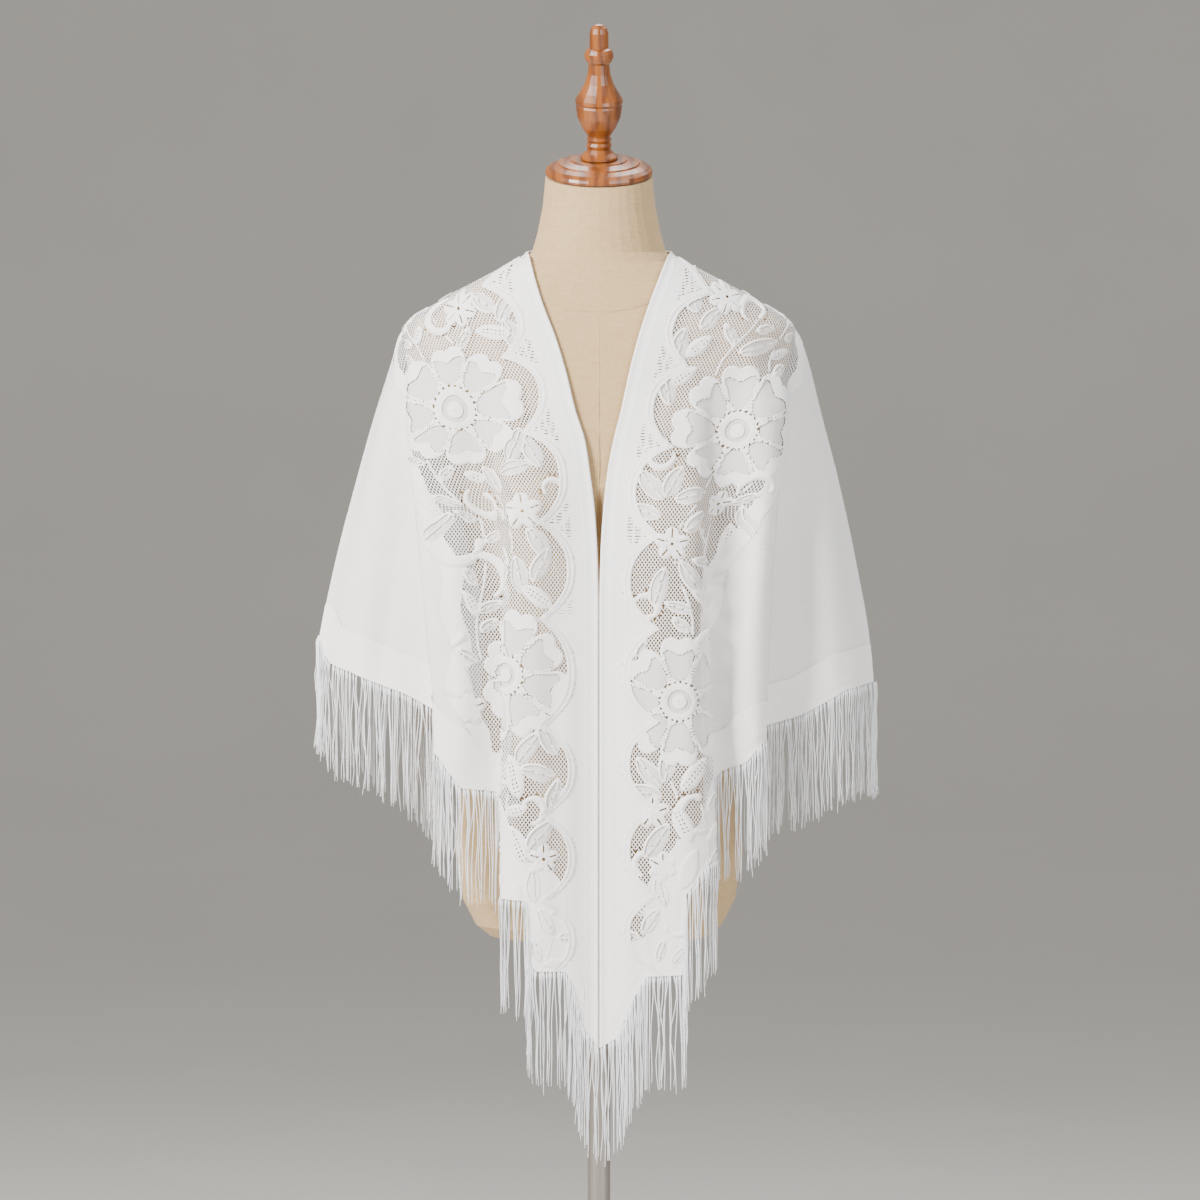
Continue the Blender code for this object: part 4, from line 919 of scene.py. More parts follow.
def posy(field, a, b, radius, petals):
    """Small flower with a holed centre."""
    w = window(field, a, b, radius + 3)
    if w is None:
        return
    da = field["a"][w] - a
    db = field["b"][w] - b
    r = np.hypot(da, db)
    q = np.arctan2(db, da)
    rim = radius * (0.62 + 0.38 * np.abs(np.cos(q * petals / 2)) ** 0.7)
    lay(field, w, (rim - r) * 0.85, 1.5)
    slit = 1.1 - np.abs(np.sin(q * petals / 2)) * r * 0.5
    slit = np.minimum(slit, np.minimum(r - radius * 0.4, rim - r - 1.5))
    pierce(field, w, slit)
    pierce(field, w, 1.9 - r)
    turns = np.arange(6) * np.pi / 3
    dots(field, [(a + radius * 0.33 * np.cos(k), b + radius * 0.33 * np.sin(k)) for k in turns], 0.95)


def flower(field, a, b, radius, turn):
    """Large eight-petalled flower: sheer tulip heart in each petal, dotted outlines, ringed centre."""
    w = window(field, a, b, radius + 4)
    da = field["a"][w] - a
    db = field["b"][w] - b
    r = np.hypot(da, db)
    q = np.arctan2(db, da) + turn
    step = np.pi / 4
    p = np.abs((q + step / 2) % step - step / 2)
    petal = np.floor((q + step / 2) / step)
    wobble = 1 + 0.05 * np.sin(petal * 2.3)
    lobe = p / (step / 2)
    rim = radius * wobble * (1.0 - 0.08 * (1 - lobe) ** 5 - 0.24 * lobe ** 3.6)
    gap = (step / 2 - p) * r
    body = np.minimum(rim - r, np.where(r > radius * 0.72, gap - 0.9, 6.0))
    lay(field, w, body, 1.1)
    rim_cord = 1.4 - np.abs(body - 1.6)
    field["lift"][w] = np.maximum(field["lift"][w], 1.7 * ease(rim_cord / 1.4) * (r > radius * 0.4))
    heart_rim = radius * wobble * (0.745 - 0.05 * np.cos(2 * np.pi * p / 0.52))
    wide = 0.315 * ease((r - radius * 0.20) / (radius * 0.26))
    heart = np.minimum(np.minimum(heart_rim - r, (wide - p) * r), r - radius * 0.33)
    thin(field, w, heart)
    dash = np.sin(r * 1.9 + p * 40.0) * 1.3
    pierce(field, w, np.minimum(0.72 - np.abs(heart + 0.6), dash))
    split = np.minimum(np.minimum(0.7 - gap, np.sin(r * 2.0) * 1.3),
                       np.minimum(r - radius * 0.31, radius * 0.68 - r))
    pierce(field, w, split)
    ring = np.minimum(0.95 - np.abs(r - radius * 0.295), np.sin(q * 22.0) * 1.6 + 0.3)
    pierce(field, w, ring)
    cord = 1.6 - np.abs(r - radius * 0.235)
    field["lift"][w] = np.maximum(field["lift"][w], 2.0 * ease(cord / 1.6))
    thin(field, w, radius * 0.035 - np.abs(r - radius * 0.145))
    button = radius * 0.095 - r
    field["lift"][w] = np.maximum(field["lift"][w], 1.6 * ease(button / 2.0))
    pierce(field, w, 0.9 - r)


def vine(field, line, width, first, last, step):
    """Winding stem along the lace with leaves on both sides of it wherever there is room."""
    a = field["a"]
    centre, slope = line(a)
    dist = np.abs(field["b"] - centre) / np.sqrt(1 + slope ** 2)
    stem = width / 2 - dist
    free = np.maximum(field["dense"], field["veil"]) < -3.0
    f = np.where(free, stem, np.minimum(stem, -1.0))
    f = np.minimum(f, np.minimum(a - first, last - a))
    lay_free(field, f, 1.2)
    count = int((last - first) / step)
    for k in range(count):
        at = first + (k + 0.5) * step
        c, m = line(np.array(at))
        for way in (-1.0, 1.0):
            reach = 15.0 + 3.0 * np.sin(k * 2.1 + way)
            lean = np.degrees(np.arctan(float(m))) + way * (52.0 + 8.0 * np.sin(k * 1.3))
            la = at + reach * np.cos(np.radians(lean))
            lb = float(c) + reach * np.sin(np.radians(lean))
            w = window(field, la, lb, 9.0)
            if w is None:
                continue
            near = np.maximum(field["dense"][w], field["veil"][w])
            if near.size and (near > -1.5).mean() < 0.16:
                leaf(field, la, lb, 27.0 + 4.0 * np.sin(k * 3.7), 12.5, lean, (k + (way > 0)) % 3 == 0)


def lay_free(field, f, lift):
    """Add dense lace only where nothing is yet."""
    field["dense"] = np.maximum(field["dense"], f)
    field["open"] = np.minimum(field["open"], -f)
    field["lift"] = np.maximum(field["lift"], lift * ease(f / 1.0))


def scallop_line(field, cusps):
    """Distance from the edge of the scalloped rib: near the edge at mid-pitch, far from it at cusps."""
    cusps = np.array(cusps)
    k = np.clip(np.searchsorted(cusps, field["a"]) - 1, 0, len(cusps) - 2)
    middle = (cusps[k] + cusps[k + 1]) / 2
    t = np.clip(np.abs(field["a"] - middle) / ((cusps[k + 1] - cusps[k]) / 2), 0, 1.3)
    return SCALLOP_NEAR + (SCALLOP_FAR - SCALLOP_NEAR) * t ** 2.4, t


def edge_zone(field, cusps):
    """Edge part of the lace: ladder openwork, then the double scallop rib over the net windows."""
    line, t = scallop_line(field, cusps)
    b = field["b"]
    a = field["a"]
    lay(field, WHOLE, line + 6.5 - b, 0.3)
    for off in (0.4, 5.0):
        f = 1.5 - np.abs(b - line - off)
        field["lift"] = np.maximum(field["lift"], 1.9 * ease((f + 0.3) / 1.5))
    groove = 0.35 - np.abs(b - line - 2.7)
    field["lift"] = np.where(groove > 0, field["lift"] * 0.5, field["lift"])
    rung = np.minimum(0.62 - np.abs((a + 0.7) % 3.0 - 1.5), 3.3 - np.abs((b + 1.0) % 8.4 - 4.2))
    zone = np.minimum(np.minimum(b - 24.0, line - 6.5 - b), (t - 0.46) * 30.0)
    pierce(field, WHOLE, np.minimum(rung, zone))
    trail = np.minimum(0.6 - np.abs(b - line + 2.6), np.sin(a * 1.6) * 1.1)
    pierce(field, WHOLE, trail)


def lace_width(side, z):
    """Distance from the edge at which the lace of a front ends."""
    return np.interp(z, [r[0] for r in LACE_END[side]], [r[1] for r in LACE_END[side]])


def lace_end(side, z):
    """Where the lace ends, with a soft uneven scallop."""
    return lace_width(side, z) + 5.0 * np.sin(z / 13.0) + 3.0 * np.sin(z / 29.0 + 1.0)


def front_pattern(sheet, zs, runs, hem_gap):
    """Lace pattern of one front over its table of heights and contour distances."""
    side = sheet["side"]
    zz, rr = np.meshgrid(zs, runs, indexing="ij")
    along, away = flat_place(sheet, zz, rr)
    field = new_field(along, away)
    cusps = []
    for z in CUSPS[side]:
        at = min(z, NECK_TOP)
        lean = float(np.interp(at, LEVELS, sheet["slant"]))
        along_edge = float(np.interp(at, LEVELS, sheet["length"]))
        cusps.append(along_edge + SCALLOP_FAR * lean + max(z - NECK_TOP, 0.0))
    end = lace_end(side, zz)
    for draw, rows, scales in ((scroll, SCROLLS, (1.25, 1, 1, 1.3)), (leaf, LEAVES, (1.32, 1.32, 1, 1)),
                               (posy, POSIES, (1.2, 1)), (flower, FLOWERS, (1.16, 1))):
        for x, z, *values in rows[side]:
            draw(field, *spot(sheet, x, z), *(value * scale for value, scale in zip(values, scales)))
    for share, swing, pace, phase in ((0.50, 15.0, 30.0, 0.4), (0.80, 13.0, 34.0, 2.2)):
        def line(at, share=share, swing=swing, pace=pace, phase=phase):
            wide = lace_width(side, np.interp(at, sheet["length"], LEVELS)) * share + 12.0
            return wide + swing * np.sin(at / pace + phase), swing / pace * np.cos(at / pace + phase)
        vine(field, line, 2.6, 70.0, 850.0, 25.0)
    plain = np.maximum(away - end, HEM_BORDER - hem_gap)
    keep = np.maximum(field["dense"], field["veil"])
    fresh = (plain > 0) & (keep <= -2.4)
    ground = np.maximum(field["dense"], np.minimum(plain, -keep - 2.4))
    field["dense"] = np.where(fresh, ground, field["dense"])
    field["open"] = np.where(fresh, -1.0, field["open"])
    field["lift"] = np.where(fresh, 0.05, field["lift"])
    join_plain(field, plain)
    edge_zone(field, cusps)
    field["reach"] = end + LACE_OVER - away
    seam = 1.4 - np.abs(hem_gap - 38.0)
    raised = np.maximum(field["lift"], 0.8 * ease(seam / 1.4))
    field["lift"] = np.where(field["dense"] > 0, raised, field["lift"])
    return field


def join_plain(field, plain):
    """Bars that tie motifs to the plain cloth, so a motif in plain cloth has a dotted outline."""
    bar = np.sin(field["a"] * 1.25) * np.sin(field["b"] * 1.25) * 1.5 + 0.75
    tie = np.minimum(plain, bar)
    here = (tie > field["dense"]) & (field["veil"] < 0) & (plain > 0)
    field["dense"] = np.where(here, tie, field["dense"])
    field["open"] = np.where(here, -tie, field["open"])


def net_ribbons(name, sheet, field, zs, runs, material, flip):
    """Diamond net of flat threads wherever the pattern is empty."""
    free = np.minimum(np.minimum(0.9 - field["dense"], 0.5 - field["veil"]), -0.15 - field["open"])
    free = np.minimum(free, trim_grid(sheet, zs, runs) + 0.5)
    z0, r0 = zs[0], runs[0]
    step = zs[1] - zs[0]
    size = np.hypot(1.0, NET_SLOPE)
    seg = 2.5
    quads = []
    for sign in (1.0, -1.0):
        dz, dr = NET_SLOPE / size, sign / size
        spread = (zs[-1] - zs[0]) / NET_SLOPE + (runs[-1] - runs[0])
        count = int(spread / NET_PITCH) + 2
        starts = runs[0] - (zs[-1] - zs[0]) / NET_SLOPE * (sign > 0) + np.arange(count) * NET_PITCH
        t = np.arange(0.0, (zs[-1] - zs[0]) / dz, seg)
        zc = z0 + t * dz
        rc = starts[:, None] + (t * dr)[None, :]
        zc = np.broadcast_to(zc, rc.shape)
        ok = (rc > runs[0]) & (rc < runs[-1] - step) & (zc < zs[-1] - step)
        zc, rc = zc[ok], rc[ok]
        i = np.clip(((zc + dz * seg / 2 - z0) / step).round().astype(int), 0, len(zs) - 1)
        j = np.clip(((rc + dr * seg / 2 - r0) / step).round().astype(int), 0, len(runs) - 1)
        hit = free[i, j] > 0
        zc, rc = zc[hit], rc[hit]
        nz, nr = -dr * NET_HALF, dz * NET_HALF
        quads.append(np.stack([
            np.stack([zc + nz, rc + nr], 1), np.stack([zc - nz, rc - nr], 1),
            np.stack([zc + dz * seg - nz, rc + dr * seg - nr], 1),
            np.stack([zc + dz * seg + nz, rc + dr * seg + nr], 1)], axis=1))
    quads = np.concatenate(quads)
    flat = quads.reshape(-1, 2)
    points = stand_off(sheet, flat[:, 0], flat[:, 1], 0.1)
    faces = np.arange(len(flat)).reshape(-1, 4)
    if flip:
        faces = faces[:, ::-1]
    return add_mesh(name, points, faces.tolist(), material, flat[:, ::-1], smooth=False)


def trim_grid(sheet, zs, runs):
    """Trim distance over a grid of heights and contour distances."""
    zz, rr = np.meshgrid(zs, runs, indexing="ij")
    return trim(sheet, zz, rr)


def hem_path(sheet):
    """Points of the hem as height and contour distance, in order along it."""
    path = []
    for k, z in enumerate(sheet["hem_z"]):
        level = np.clip((z - LEVELS[0]) / LEVEL_STEP, 0, len(LEVELS) - 1)
        line = sheet["place"][int(round(level))]
        if line[0] < line[-1]:
            run = np.interp(sheet["places"][k], line, RUNS)
        else:
            run = np.interp(-sheet["places"][k], -line, RUNS)
        path.append((z, run))
    return np.array(path)


def hem_distance(sheet, zs, runs):
    """Distance of each grid point from the hem, measured over the cloth."""
    path = hem_path(sheet)
    zz, rr = np.meshgrid(zs, runs, indexing="ij")
    best = np.full(zz.shape, 400.0)
    for k in range(len(path) - 1):
        p = path[k]
        d = path[k + 1] - p
        size = (d ** 2).sum()
        if size < 0.01:
            continue
        t = np.clip(((zz - p[0]) * d[0] + (rr - p[1]) * d[1]) / size, 0, 1)
        best = np.minimum(best, np.hypot(zz - p[0] - t * d[0], rr - p[1] - t * d[1]))
    return best


def fringe_strands(name, sheet, side_y, pitch, material, seed):
    """Silky strands with a knot at the root, hanging from a hem and drawn into loose locks."""
    rng = np.random.default_rng(seed)
    path = hem_path(sheet)
    step = np.sqrt((np.diff(path, axis=0) ** 2).sum(1))
    run = np.concatenate([[0.0], np.cumsum(step)])
    count = int(run[-1] / pitch)
    stops = (np.arange(count) + 0.5) * run[-1] / count + rng.uniform(-0.35, 0.35, count) * pitch
    z = np.interp(stops, run, path[:, 0])
    r = np.interp(stops, run, path[:, 1])
    root = read_sheet(sheet, z, r, "p")
    out = read_sheet(sheet, z, r, "n")
    out[:, 2] = 0.0
    out = unit(out)
    lock = (np.arange(count) + rng.integers(0, 3, count)) // 6
    size = np.maximum(np.bincount(lock), 1)
    centre = np.stack([np.bincount(lock, root[:, a]) / size for a in (0, 1)], 1)[lock]
    pull = rng.uniform(0.15, 0.75, count)
    length = FRINGE_LENGTH + rng.normal(0, 3.5, count)
    knots = np.array((0.0, 0.012, 0.03, 0.05, 0.075, 0.12, 0.2, 0.32, 0.46, 0.6, 0.74, 0.88, 1.0))
    thick = np.array((0.7, 0.95, 1.35, 1.1, 0.75, 0.62, 0.58, 0.58, 0.56, 0.54, 0.5, 0.46, 0.3))
    sway = rng.normal(0, 1.0, (count, 4))
    points = []
    for t, radius in zip(knots, thick):
        centre_now = root.copy()
        centre_now[:, 2] -= t * length
        draw = (pull * ease(t / 0.8))[:, None]
        centre_now[:, :2] += (centre - root[:, :2]) * draw
        wave = 1.5 * sway[:, 0] * t + 0.9 * sway[:, 1] * np.sin(t * 9.0 + sway[:, 2] * 2)
        centre_now[:, 0] += wave
        centre_now[:, 1] += 1.2 * sway[:, 3] * t
        centre_now += out * (0.9 + 1.2 * np.sin(min(t * 8, 3.1)))
        lift = hug(centre_now, 2.2, side_y)
        deep = np.abs(centre_now[:, 0]) < 146.0
        centre_now[:, 1] = np.where(deep, lift[:, 1], centre_now[:, 1])
        for k in range(3):
            turn = k * 2.0944 + 0.4
            points.append(centre_now + radius * np.array((np.cos(turn), np.sin(turn), 0.0)))
    rings = len(knots)
    points = np.array(points).reshape(rings, 3, count, 3).transpose(2, 0, 1, 3).reshape(-1, 3)
    faces = []
    base = np.arange(count)[:, None] * (rings * 3)
    for k in range(rings - 1):
        for m in range(3):
            n = (m + 1) % 3
            faces.append(base + k * 3 + np.array((n, m, 3 + m, 3 + n)))
    faces = np.concatenate(faces).tolist()
    return add_mesh(name, points, faces, material)


def edge_band(name, sheet, side, material):
    """Edge band of one side from the tip to the middle of the back neck, with two raised rims."""
    across = np.array((0.0, 0.5, 1.4, 2.6, 3.6, 7.0, 10.6, 12.0, 13.2, 14.0, 15.5))
    lift = np.array((-0.5, 0.5, 0.95, 0.8, 0.35, 0.3, 0.35, 0.7, 0.6, 0.3, 0.1))
    zs = np.arange(EDGE_FOOT, 1362.0, 4.0)
    zz, rr = np.meshgrid(zs, across, indexing="ij")
    floor = hem_height(sheet, zz, rr)
    zz = np.where(zz < floor, floor, zz)
    top = NECK_TOP - (rr / RIDGE_SLANT) * 0.571
    zz = np.minimum(zz, np.maximum(top, 1345.0))
    points = stand_off(sheet, zz, rr, lift[None, :, None])
    neck = []
    for angle in np.linspace(3.0, 90.0, 30):
        normal = unit(neck_normal(angle)[None])[0]
        if normal[2] < 0:
            normal = -normal
        row = [neck_point(angle, out) + normal * h for out, h in zip(across, lift)]
        neck.append(np.array(row) * np.array((side, 1.0, 1.0)))
    points = np.concatenate([points, np.array(neck)], axis=0)
    rows, cols = points.shape[:2]
    uv = np.stack(np.meshgrid(across, np.arange(rows) * 4.0), axis=-1)
    return add_mesh(name, points.reshape(-1, 3), grid_faces(rows, cols, side < 0), material,
                    uv.reshape(-1, 2))


def plain_cloth(name, sheet, material, flip):
    """Plain knitted cloth beyond the lace."""
    zs = np.arange(546.0, 1366.0, PLAIN_STEPS[0])
    runs = np.arange(BAND_WIDTH if "slant" in sheet else 0.0, CLOTH_FAR, PLAIN_STEPS[1])
    zz, rr = np.meshgrid(zs, runs, indexing="ij")
    inside = trim(sheet, zz, rr)
    if "slant" in sheet:
        inside = np.minimum(inside, rr - BAND_COVER)
        along, away = flat_place(sheet, zz, rr)
        inside = np.minimum(inside, away - lace_end(sheet["side"], zz) - LACE_OVER + LACE_UNDER)
    else:
        inside = np.minimum(inside, neck_away(sheet, zz, rr) - BACK_LACE - LACE_OVER + LACE_UNDER)
    return cut_cloth(name, sheet, zs, runs, inside, np.full(zz.shape, -0.15), material, flip)


def ridge_strip(name, front, back, material, low, high):
    """Narrow strip under the fold along the shoulder, where the front and the back meet."""
    points = []
    levels = np.arange(low, high, 2.0)
    for z in levels:
        at = np.array([z])
        front_end = np.interp(at, LEVELS, front["end"])
        back_end = np.interp(at, LEVELS, back["end"])
        points.append([stand_off(sheet, at, np.maximum(run, 0.0), -0.3)[0]
                       for sheet, run in ((front, front_end - RIDGE_STRIP), (front, front_end),
                                          (back, back_end - RIDGE_STRIP))])
    uv = np.stack(np.meshgrid(np.arange(3) * RIDGE_STRIP, levels), axis=-1)
    return add_mesh(name, np.array(points).reshape(-1, 3), grid_faces(len(levels), 3), material,
                    uv.reshape(-1, 2))


def hem_border(name, sheet, material, flip):
    """Denser border along the hem with a stitched line near its foot and a rib along its top."""
    zs = np.arange(552.0, 1010.0, BORDER_STEP)
    runs = np.arange(0.0, CLOTH_FAR, BORDER_STEP)
    gap = hem_distance(sheet, zs, runs)
    inside = np.minimum(trim_grid(sheet, zs, runs), HEM_BORDER - gap)
    if "slant" in sheet:
        zz, rr = np.meshgrid(zs, runs, indexing="ij")
        inside = np.minimum(inside, rr - BAND_COVER)
    lift = 0.5 + 0.5 * np.exp(-((gap - 37.5) / 1.6) ** 2) + 0.7 * np.exp(-((gap - 9.5) / 1.6) ** 2)
    lift = lift + 0.7 * np.exp(-((gap - 1.0) / 1.6) ** 2)
    return cut_cloth(name, sheet, zs, runs, inside, lift, material, flip)


def neck_away(sheet, z, run):
    """Distance of back points from the neck edge."""
    points = read_sheet(sheet, z, run, "p")
    best = np.full(z.shape, 900.0)
    for angle in np.linspace(0.0, 90.0, 25):
        p = neck_point(angle, 0.0) * np.array((sheet["side"], 1.0, 1.0))
        best = np.minimum(best, np.sqrt(((points - p) ** 2).sum(-1)))
    return best


def back_pattern(sheet, zs, runs):
    """Lace band round the neck at the back: the same rib, net, leaves and flowers."""
    zz, rr = np.meshgrid(zs, runs, indexing="ij")
    away = neck_away(sheet, zz, rr)
    points = read_sheet(sheet, zz, rr, "p")
    turn = np.degrees(np.arctan2(np.abs(points[..., 0]), np.maximum(1380.0 - points[..., 2], 1.0)))
    along = turn * 2.6
    field = new_field(along, away)
    for row in BACK_LEAVES:
        leaf(field, *row)
    for row in BACK_POSIES:
        posy(field, *row)
    flower(field, 112.0, 112.0, 36.0, 0.2)
    plain = away - 148.0 - 5.0 * np.sin(along / 12.0)
    fresh = plain > field["dense"]
    field["dense"] = np.where(fresh, plain, field["dense"])
    field["veil"] = np.where(fresh & (plain > 0), -1.0, field["veil"])
    edge_zone(field, np.arange(-80.0, 400.0, 78.0))
    field["reach"] = BACK_LACE + LACE_OVER - away
    return field


def joined(name, pieces):
    """One object from several meshes, keeping their materials and flat coordinates."""
    with bpy.context.temp_override(active_object=pieces[0], object=pieces[0], selected_objects=pieces,
                                   selected_editable_objects=pieces):
        bpy.ops.object.join()
    shape = bmesh.new()
    shape.from_mesh(pieces[0].data)
    bmesh.ops.remove_doubles(shape, verts=shape.verts, dist=2e-5)
    shape.to_mesh(pieces[0].data)
    shape.free()
    pieces[0].name = name
    pieces[0].data.name = name
    return pieces[0]


def lace_pieces(word, sheet, field, zs, runs, mats, flip):
    """Dense lace, sheer lace and net of one stretch."""
    edge = np.minimum(trim_grid(sheet, zs, runs), field["reach"])
    dense = np.minimum(field["dense"], edge)
    veil = np.minimum(field["veil"] + 0.5, edge)
    lift = 0.25 + field["lift"]
    solid = cut_cloth(word + "_lace_motifs", sheet, zs, runs, dense, lift, mats["lace"], flip)
    sheer = cut_cloth(word + "_lace_sheer", sheet, zs, runs, veil, np.full(lift.shape, 0.12),
                      mats["sheer"], flip)
    net = net_ribbons(word + "_lace_net", sheet, field, zs, runs, mats["net"], flip)
    return [solid, sheer, net]


def node(tree, kind, **values):
    """New shader node with named inputs set."""
    made = tree.nodes.new(kind)
    for key, value in values.items():
        key = key.replace("_", " ")
        if key in made.inputs:
            made.inputs[key].default_value = value
    return made


def base_material(name, colour, roughness, **values):
    """Principled material to which detail is added."""
    mat = bpy.data.materials.new(name)
    mat.use_nodes = True
    shader = mat.node_tree.nodes["Principled BSDF"]
    shader.inputs["Base Color"].default_value = (*colour, 1.0)
    shader.inputs["Roughness"].default_value = roughness
    for key, value in values.items():
        shader.inputs[key.replace("_", " ")].default_value = value
    mat.diffuse_color = (*colour, 1.0)
    return mat, mat.node_tree, shader


def object_place(tree):
    """Socket of the coordinates of the piece itself."""
    return tree.nodes.new("ShaderNodeTexCoord").outputs["Object"]


def stretch(tree, place, scale, turn=(0.0, 0.0, 0.0)):
    """Coordinates stretched along the three axes, and turned."""
    mapping = tree.nodes.new("ShaderNodeMapping")
    mapping.inputs["Scale"].default_value = scale
    mapping.inputs["Rotation"].default_value = turn
    tree.links.new(place, mapping.inputs["Vector"])
    return mapping.outputs["Vector"]


def noise_at(tree, place, **values):
    """Socket of a noise texture read at a place."""
    made = node(tree, "ShaderNodeTexNoise", **values)
    tree.links.new(place, made.inputs["Vector"])
    return made.outputs["Fac"]


def maths(tree, operation, *terms):
    """Socket of a sum over sockets and plain numbers."""
    made = tree.nodes.new("ShaderNodeMath")
    made.operation = operation
    for term, entry in zip(terms, made.inputs):
        if isinstance(term, float):
            entry.default_value = term
        else:
            tree.links.new(term, entry)
    return made.outputs[0]


def tone(tree, shader, factor, low, high, first=0.0, last=1.0):
    """Base colour from a ramp between two tones."""
    ramp = tree.nodes.new("ShaderNodeValToRGB")
    for element, colour, position in zip(ramp.color_ramp.elements, (low, high), (first, last)):
        element.color = (*colour, 1.0)
        element.position = position
    tree.links.new(factor, ramp.inputs["Fac"])
    tree.links.new(ramp.outputs["Color"], shader.inputs["Base Color"])


def relief(tree, shader, height, strength, distance):
    """Fine relief from a height socket."""
    bump = node(tree, "ShaderNodeBump", Strength=strength, Distance=distance)
    tree.links.new(height, bump.inputs["Height"])
    tree.links.new(bump.outputs["Normal"], shader.inputs["Normal"])


def knit_material(name, colour, low, pitch, depth, sheen, coverage=1.0):
    """Fine warp-knit cloth: two crossing bands of loops over a soft uneven tone."""
    mat, tree, shader = base_material(name, colour, 0.82, Sheen_Weight=sheen, Sheen_Roughness=0.45,
                                      Alpha=coverage, Subsurface_Weight=0.0)
    where = tree.nodes.new("ShaderNodeTexCoord")
    bands = []
    for direction in ("X", "Y"):
        wave = node(tree, "ShaderNodeTexWave", Scale=1.0 / (pitch * MM) / 6.2832, Distortion=0.6,
                    Detail=1.0)
        wave.wave_type = "BANDS"
        wave.bands_direction = direction
        tree.links.new(where.outputs["UV"], wave.inputs["Vector"])
        bands.append(wave.outputs["Fac"])
    cloud = noise_at(tree, where.outputs["Object"], Scale=9.0, Detail=5.0, Roughness=0.6)
    tone(tree, shader, cloud, low, colour, 0.3, 0.62)
    relief(tree, shader, maths(tree, "MULTIPLY", *bands), 0.55, depth * MM)
    return mat


def silk_material(name, colour, low):
    """Silky strands: soft shine with a little change of tone along and between them."""
    mat, tree, shader = base_material(name, colour, 0.42, Sheen_Weight=0.3, Sheen_Roughness=0.3)
    noise = noise_at(tree, object_place(tree), Scale=160.0, Detail=3.0, Roughness=0.6)
    tone(tree, shader, noise, low, colour)
    relief(tree, shader, noise, 0.3, 0.0003)
    return mat


def linen_material(name, colour, low):
    """Slubby linen cover with warp and weft threads and a faint mottled tone."""
    mat, tree, shader = base_material(name, colour, 0.9, Sheen_Weight=0.06, Sheen_Roughness=0.6)
    place = object_place(tree)
    slubs = [noise_at(tree, stretch(tree, place, scale), Scale=1.0, Detail=2.0, Roughness=0.7)
             for scale in ((900.0, 900.0, 60.0), (70.0, 70.0, 900.0))]
    both = maths(tree, "ADD", *slubs)
    cloud = noise_at(tree, place, Scale=7.0, Detail=4.0, Roughness=0.6)
    mottle = maths(tree, "MULTIPLY_ADD", cloud, 0.35, -0.18)
    tone(tree, shader, maths(tree, "MULTIPLY_ADD", both, 0.5, mottle), low, colour, 0.34, 0.6)
    relief(tree, shader, both, 0.5, 0.0004)
    return mat


def wood_material(name, colour, dark):
    """Varnished turned wood: rings seen from the side, pores, and a clear coat."""
    mat, tree, shader = base_material(name, colour, 0.34, Coat_Weight=0.4, Coat_Roughness=0.16)
    place = object_place(tree)
    wave = node(tree, "ShaderNodeTexWave", Scale=24.0, Distortion=5.0, Detail=3.0, Detail_Scale=1.4)
    wave.bands_direction = "X"
    tree.links.new(stretch(tree, place, (1.0, 1.0, 0.16), (0.12, 0.2, 0.0)), wave.inputs["Vector"])
    pores = noise_at(tree, stretch(tree, place, (700.0, 700.0, 60.0)), Scale=1.0, Detail=2.0)
    grain = maths(tree, "MULTIPLY_ADD", pores, 0.35, wave.outputs["Fac"])
    tone(tree, shader, grain, dark, colour, 0.1, 0.85)
    relief(tree, shader, pores, 0.12, 0.0003)
    return mat


def metal_material(name, colour, low):
    """Satin tube and base: fine drawn lines and worn tone."""
    mat, tree, shader = base_material(name, colour, 0.36, Metallic=0.85)
    lines = stretch(tree, object_place(tree), (260.0, 260.0, 9.0))
    noise = noise_at(tree, lines, Scale=1.0, Detail=4.0)
    tone(tree, shader, noise, low, colour)
    relief(tree, shader, noise, 0.15, 0.0002)
    return mat


def floor_material():
    """Pale plain floor and backdrop with a faint unevenness."""
    mat, tree, shader = base_material("pale_floor", (0.27, 0.265, 0.255), 0.9)
    noise = noise_at(tree, object_place(tree), Scale=2.0, Detail=4.0)
    tone(tree, shader, noise, (0.54, 0.53, 0.502), (0.59, 0.578, 0.545))
    return mat


def form_seam(name, path, radius, material):
    """Stitched seam of the linen cover: a fine raised cord along points of its surface."""
    path = np.array(path)
    ahead = unit(np.gradient(path, axis=0))
    outward = unit(path * np.array((1.0, 1.0, 0.0)))
    cross = unit(np.cross(ahead, outward))
    points = []
    for turn in (0.0, 1.0472, 2.0944, 3.1416):
        points.append(path + cross * np.cos(turn) * radius * 1.8 + outward * np.sin(turn) * radius)
    points = np.stack(points, axis=1)
    return add_mesh(name, points.reshape(-1, 3), grid_faces(len(path), 4), material)


def form_surface(x, z, side_y):
    """Exact surface of the form at a place of the front view."""
    wide = form_at("half_width", z)
    deep = form_depth(x, z, side_y)
    power = form_at("power", z)
    return side_y * deep * np.clip(1 - np.abs(x / wide) ** power, 0, 1) ** (1 / power)


def build_seams(material):
    """Seams of the cover: round the foot of the neck, and down the middle of front and back."""
    made = []
    ring = []
    for angle in np.linspace(0, 2 * np.pi, 97):
        x = 88.0 * np.cos(angle)
        side_y = -1 if np.sin(angle) < 0 else 1
        dip = 42.0 if side_y < 0 else 8.0
        z = 1339.0 - dip * abs(np.sin(angle)) ** 1.2
        ring.append((x, float(form_surface(x, z, side_y)), z))
    made.append(form_seam("neck_seam", ring, 0.55, material))
    for word, side_y, top in (("front", -1, 1294.0), ("back", 1, 1330.0)):
        line = [(0.0, float(form_surface(0.0, z, side_y)), z) for z in np.linspace(top, 672.0, 90)]
        made.append(form_seam(word + "_seam", line, 0.28, material))
    return made


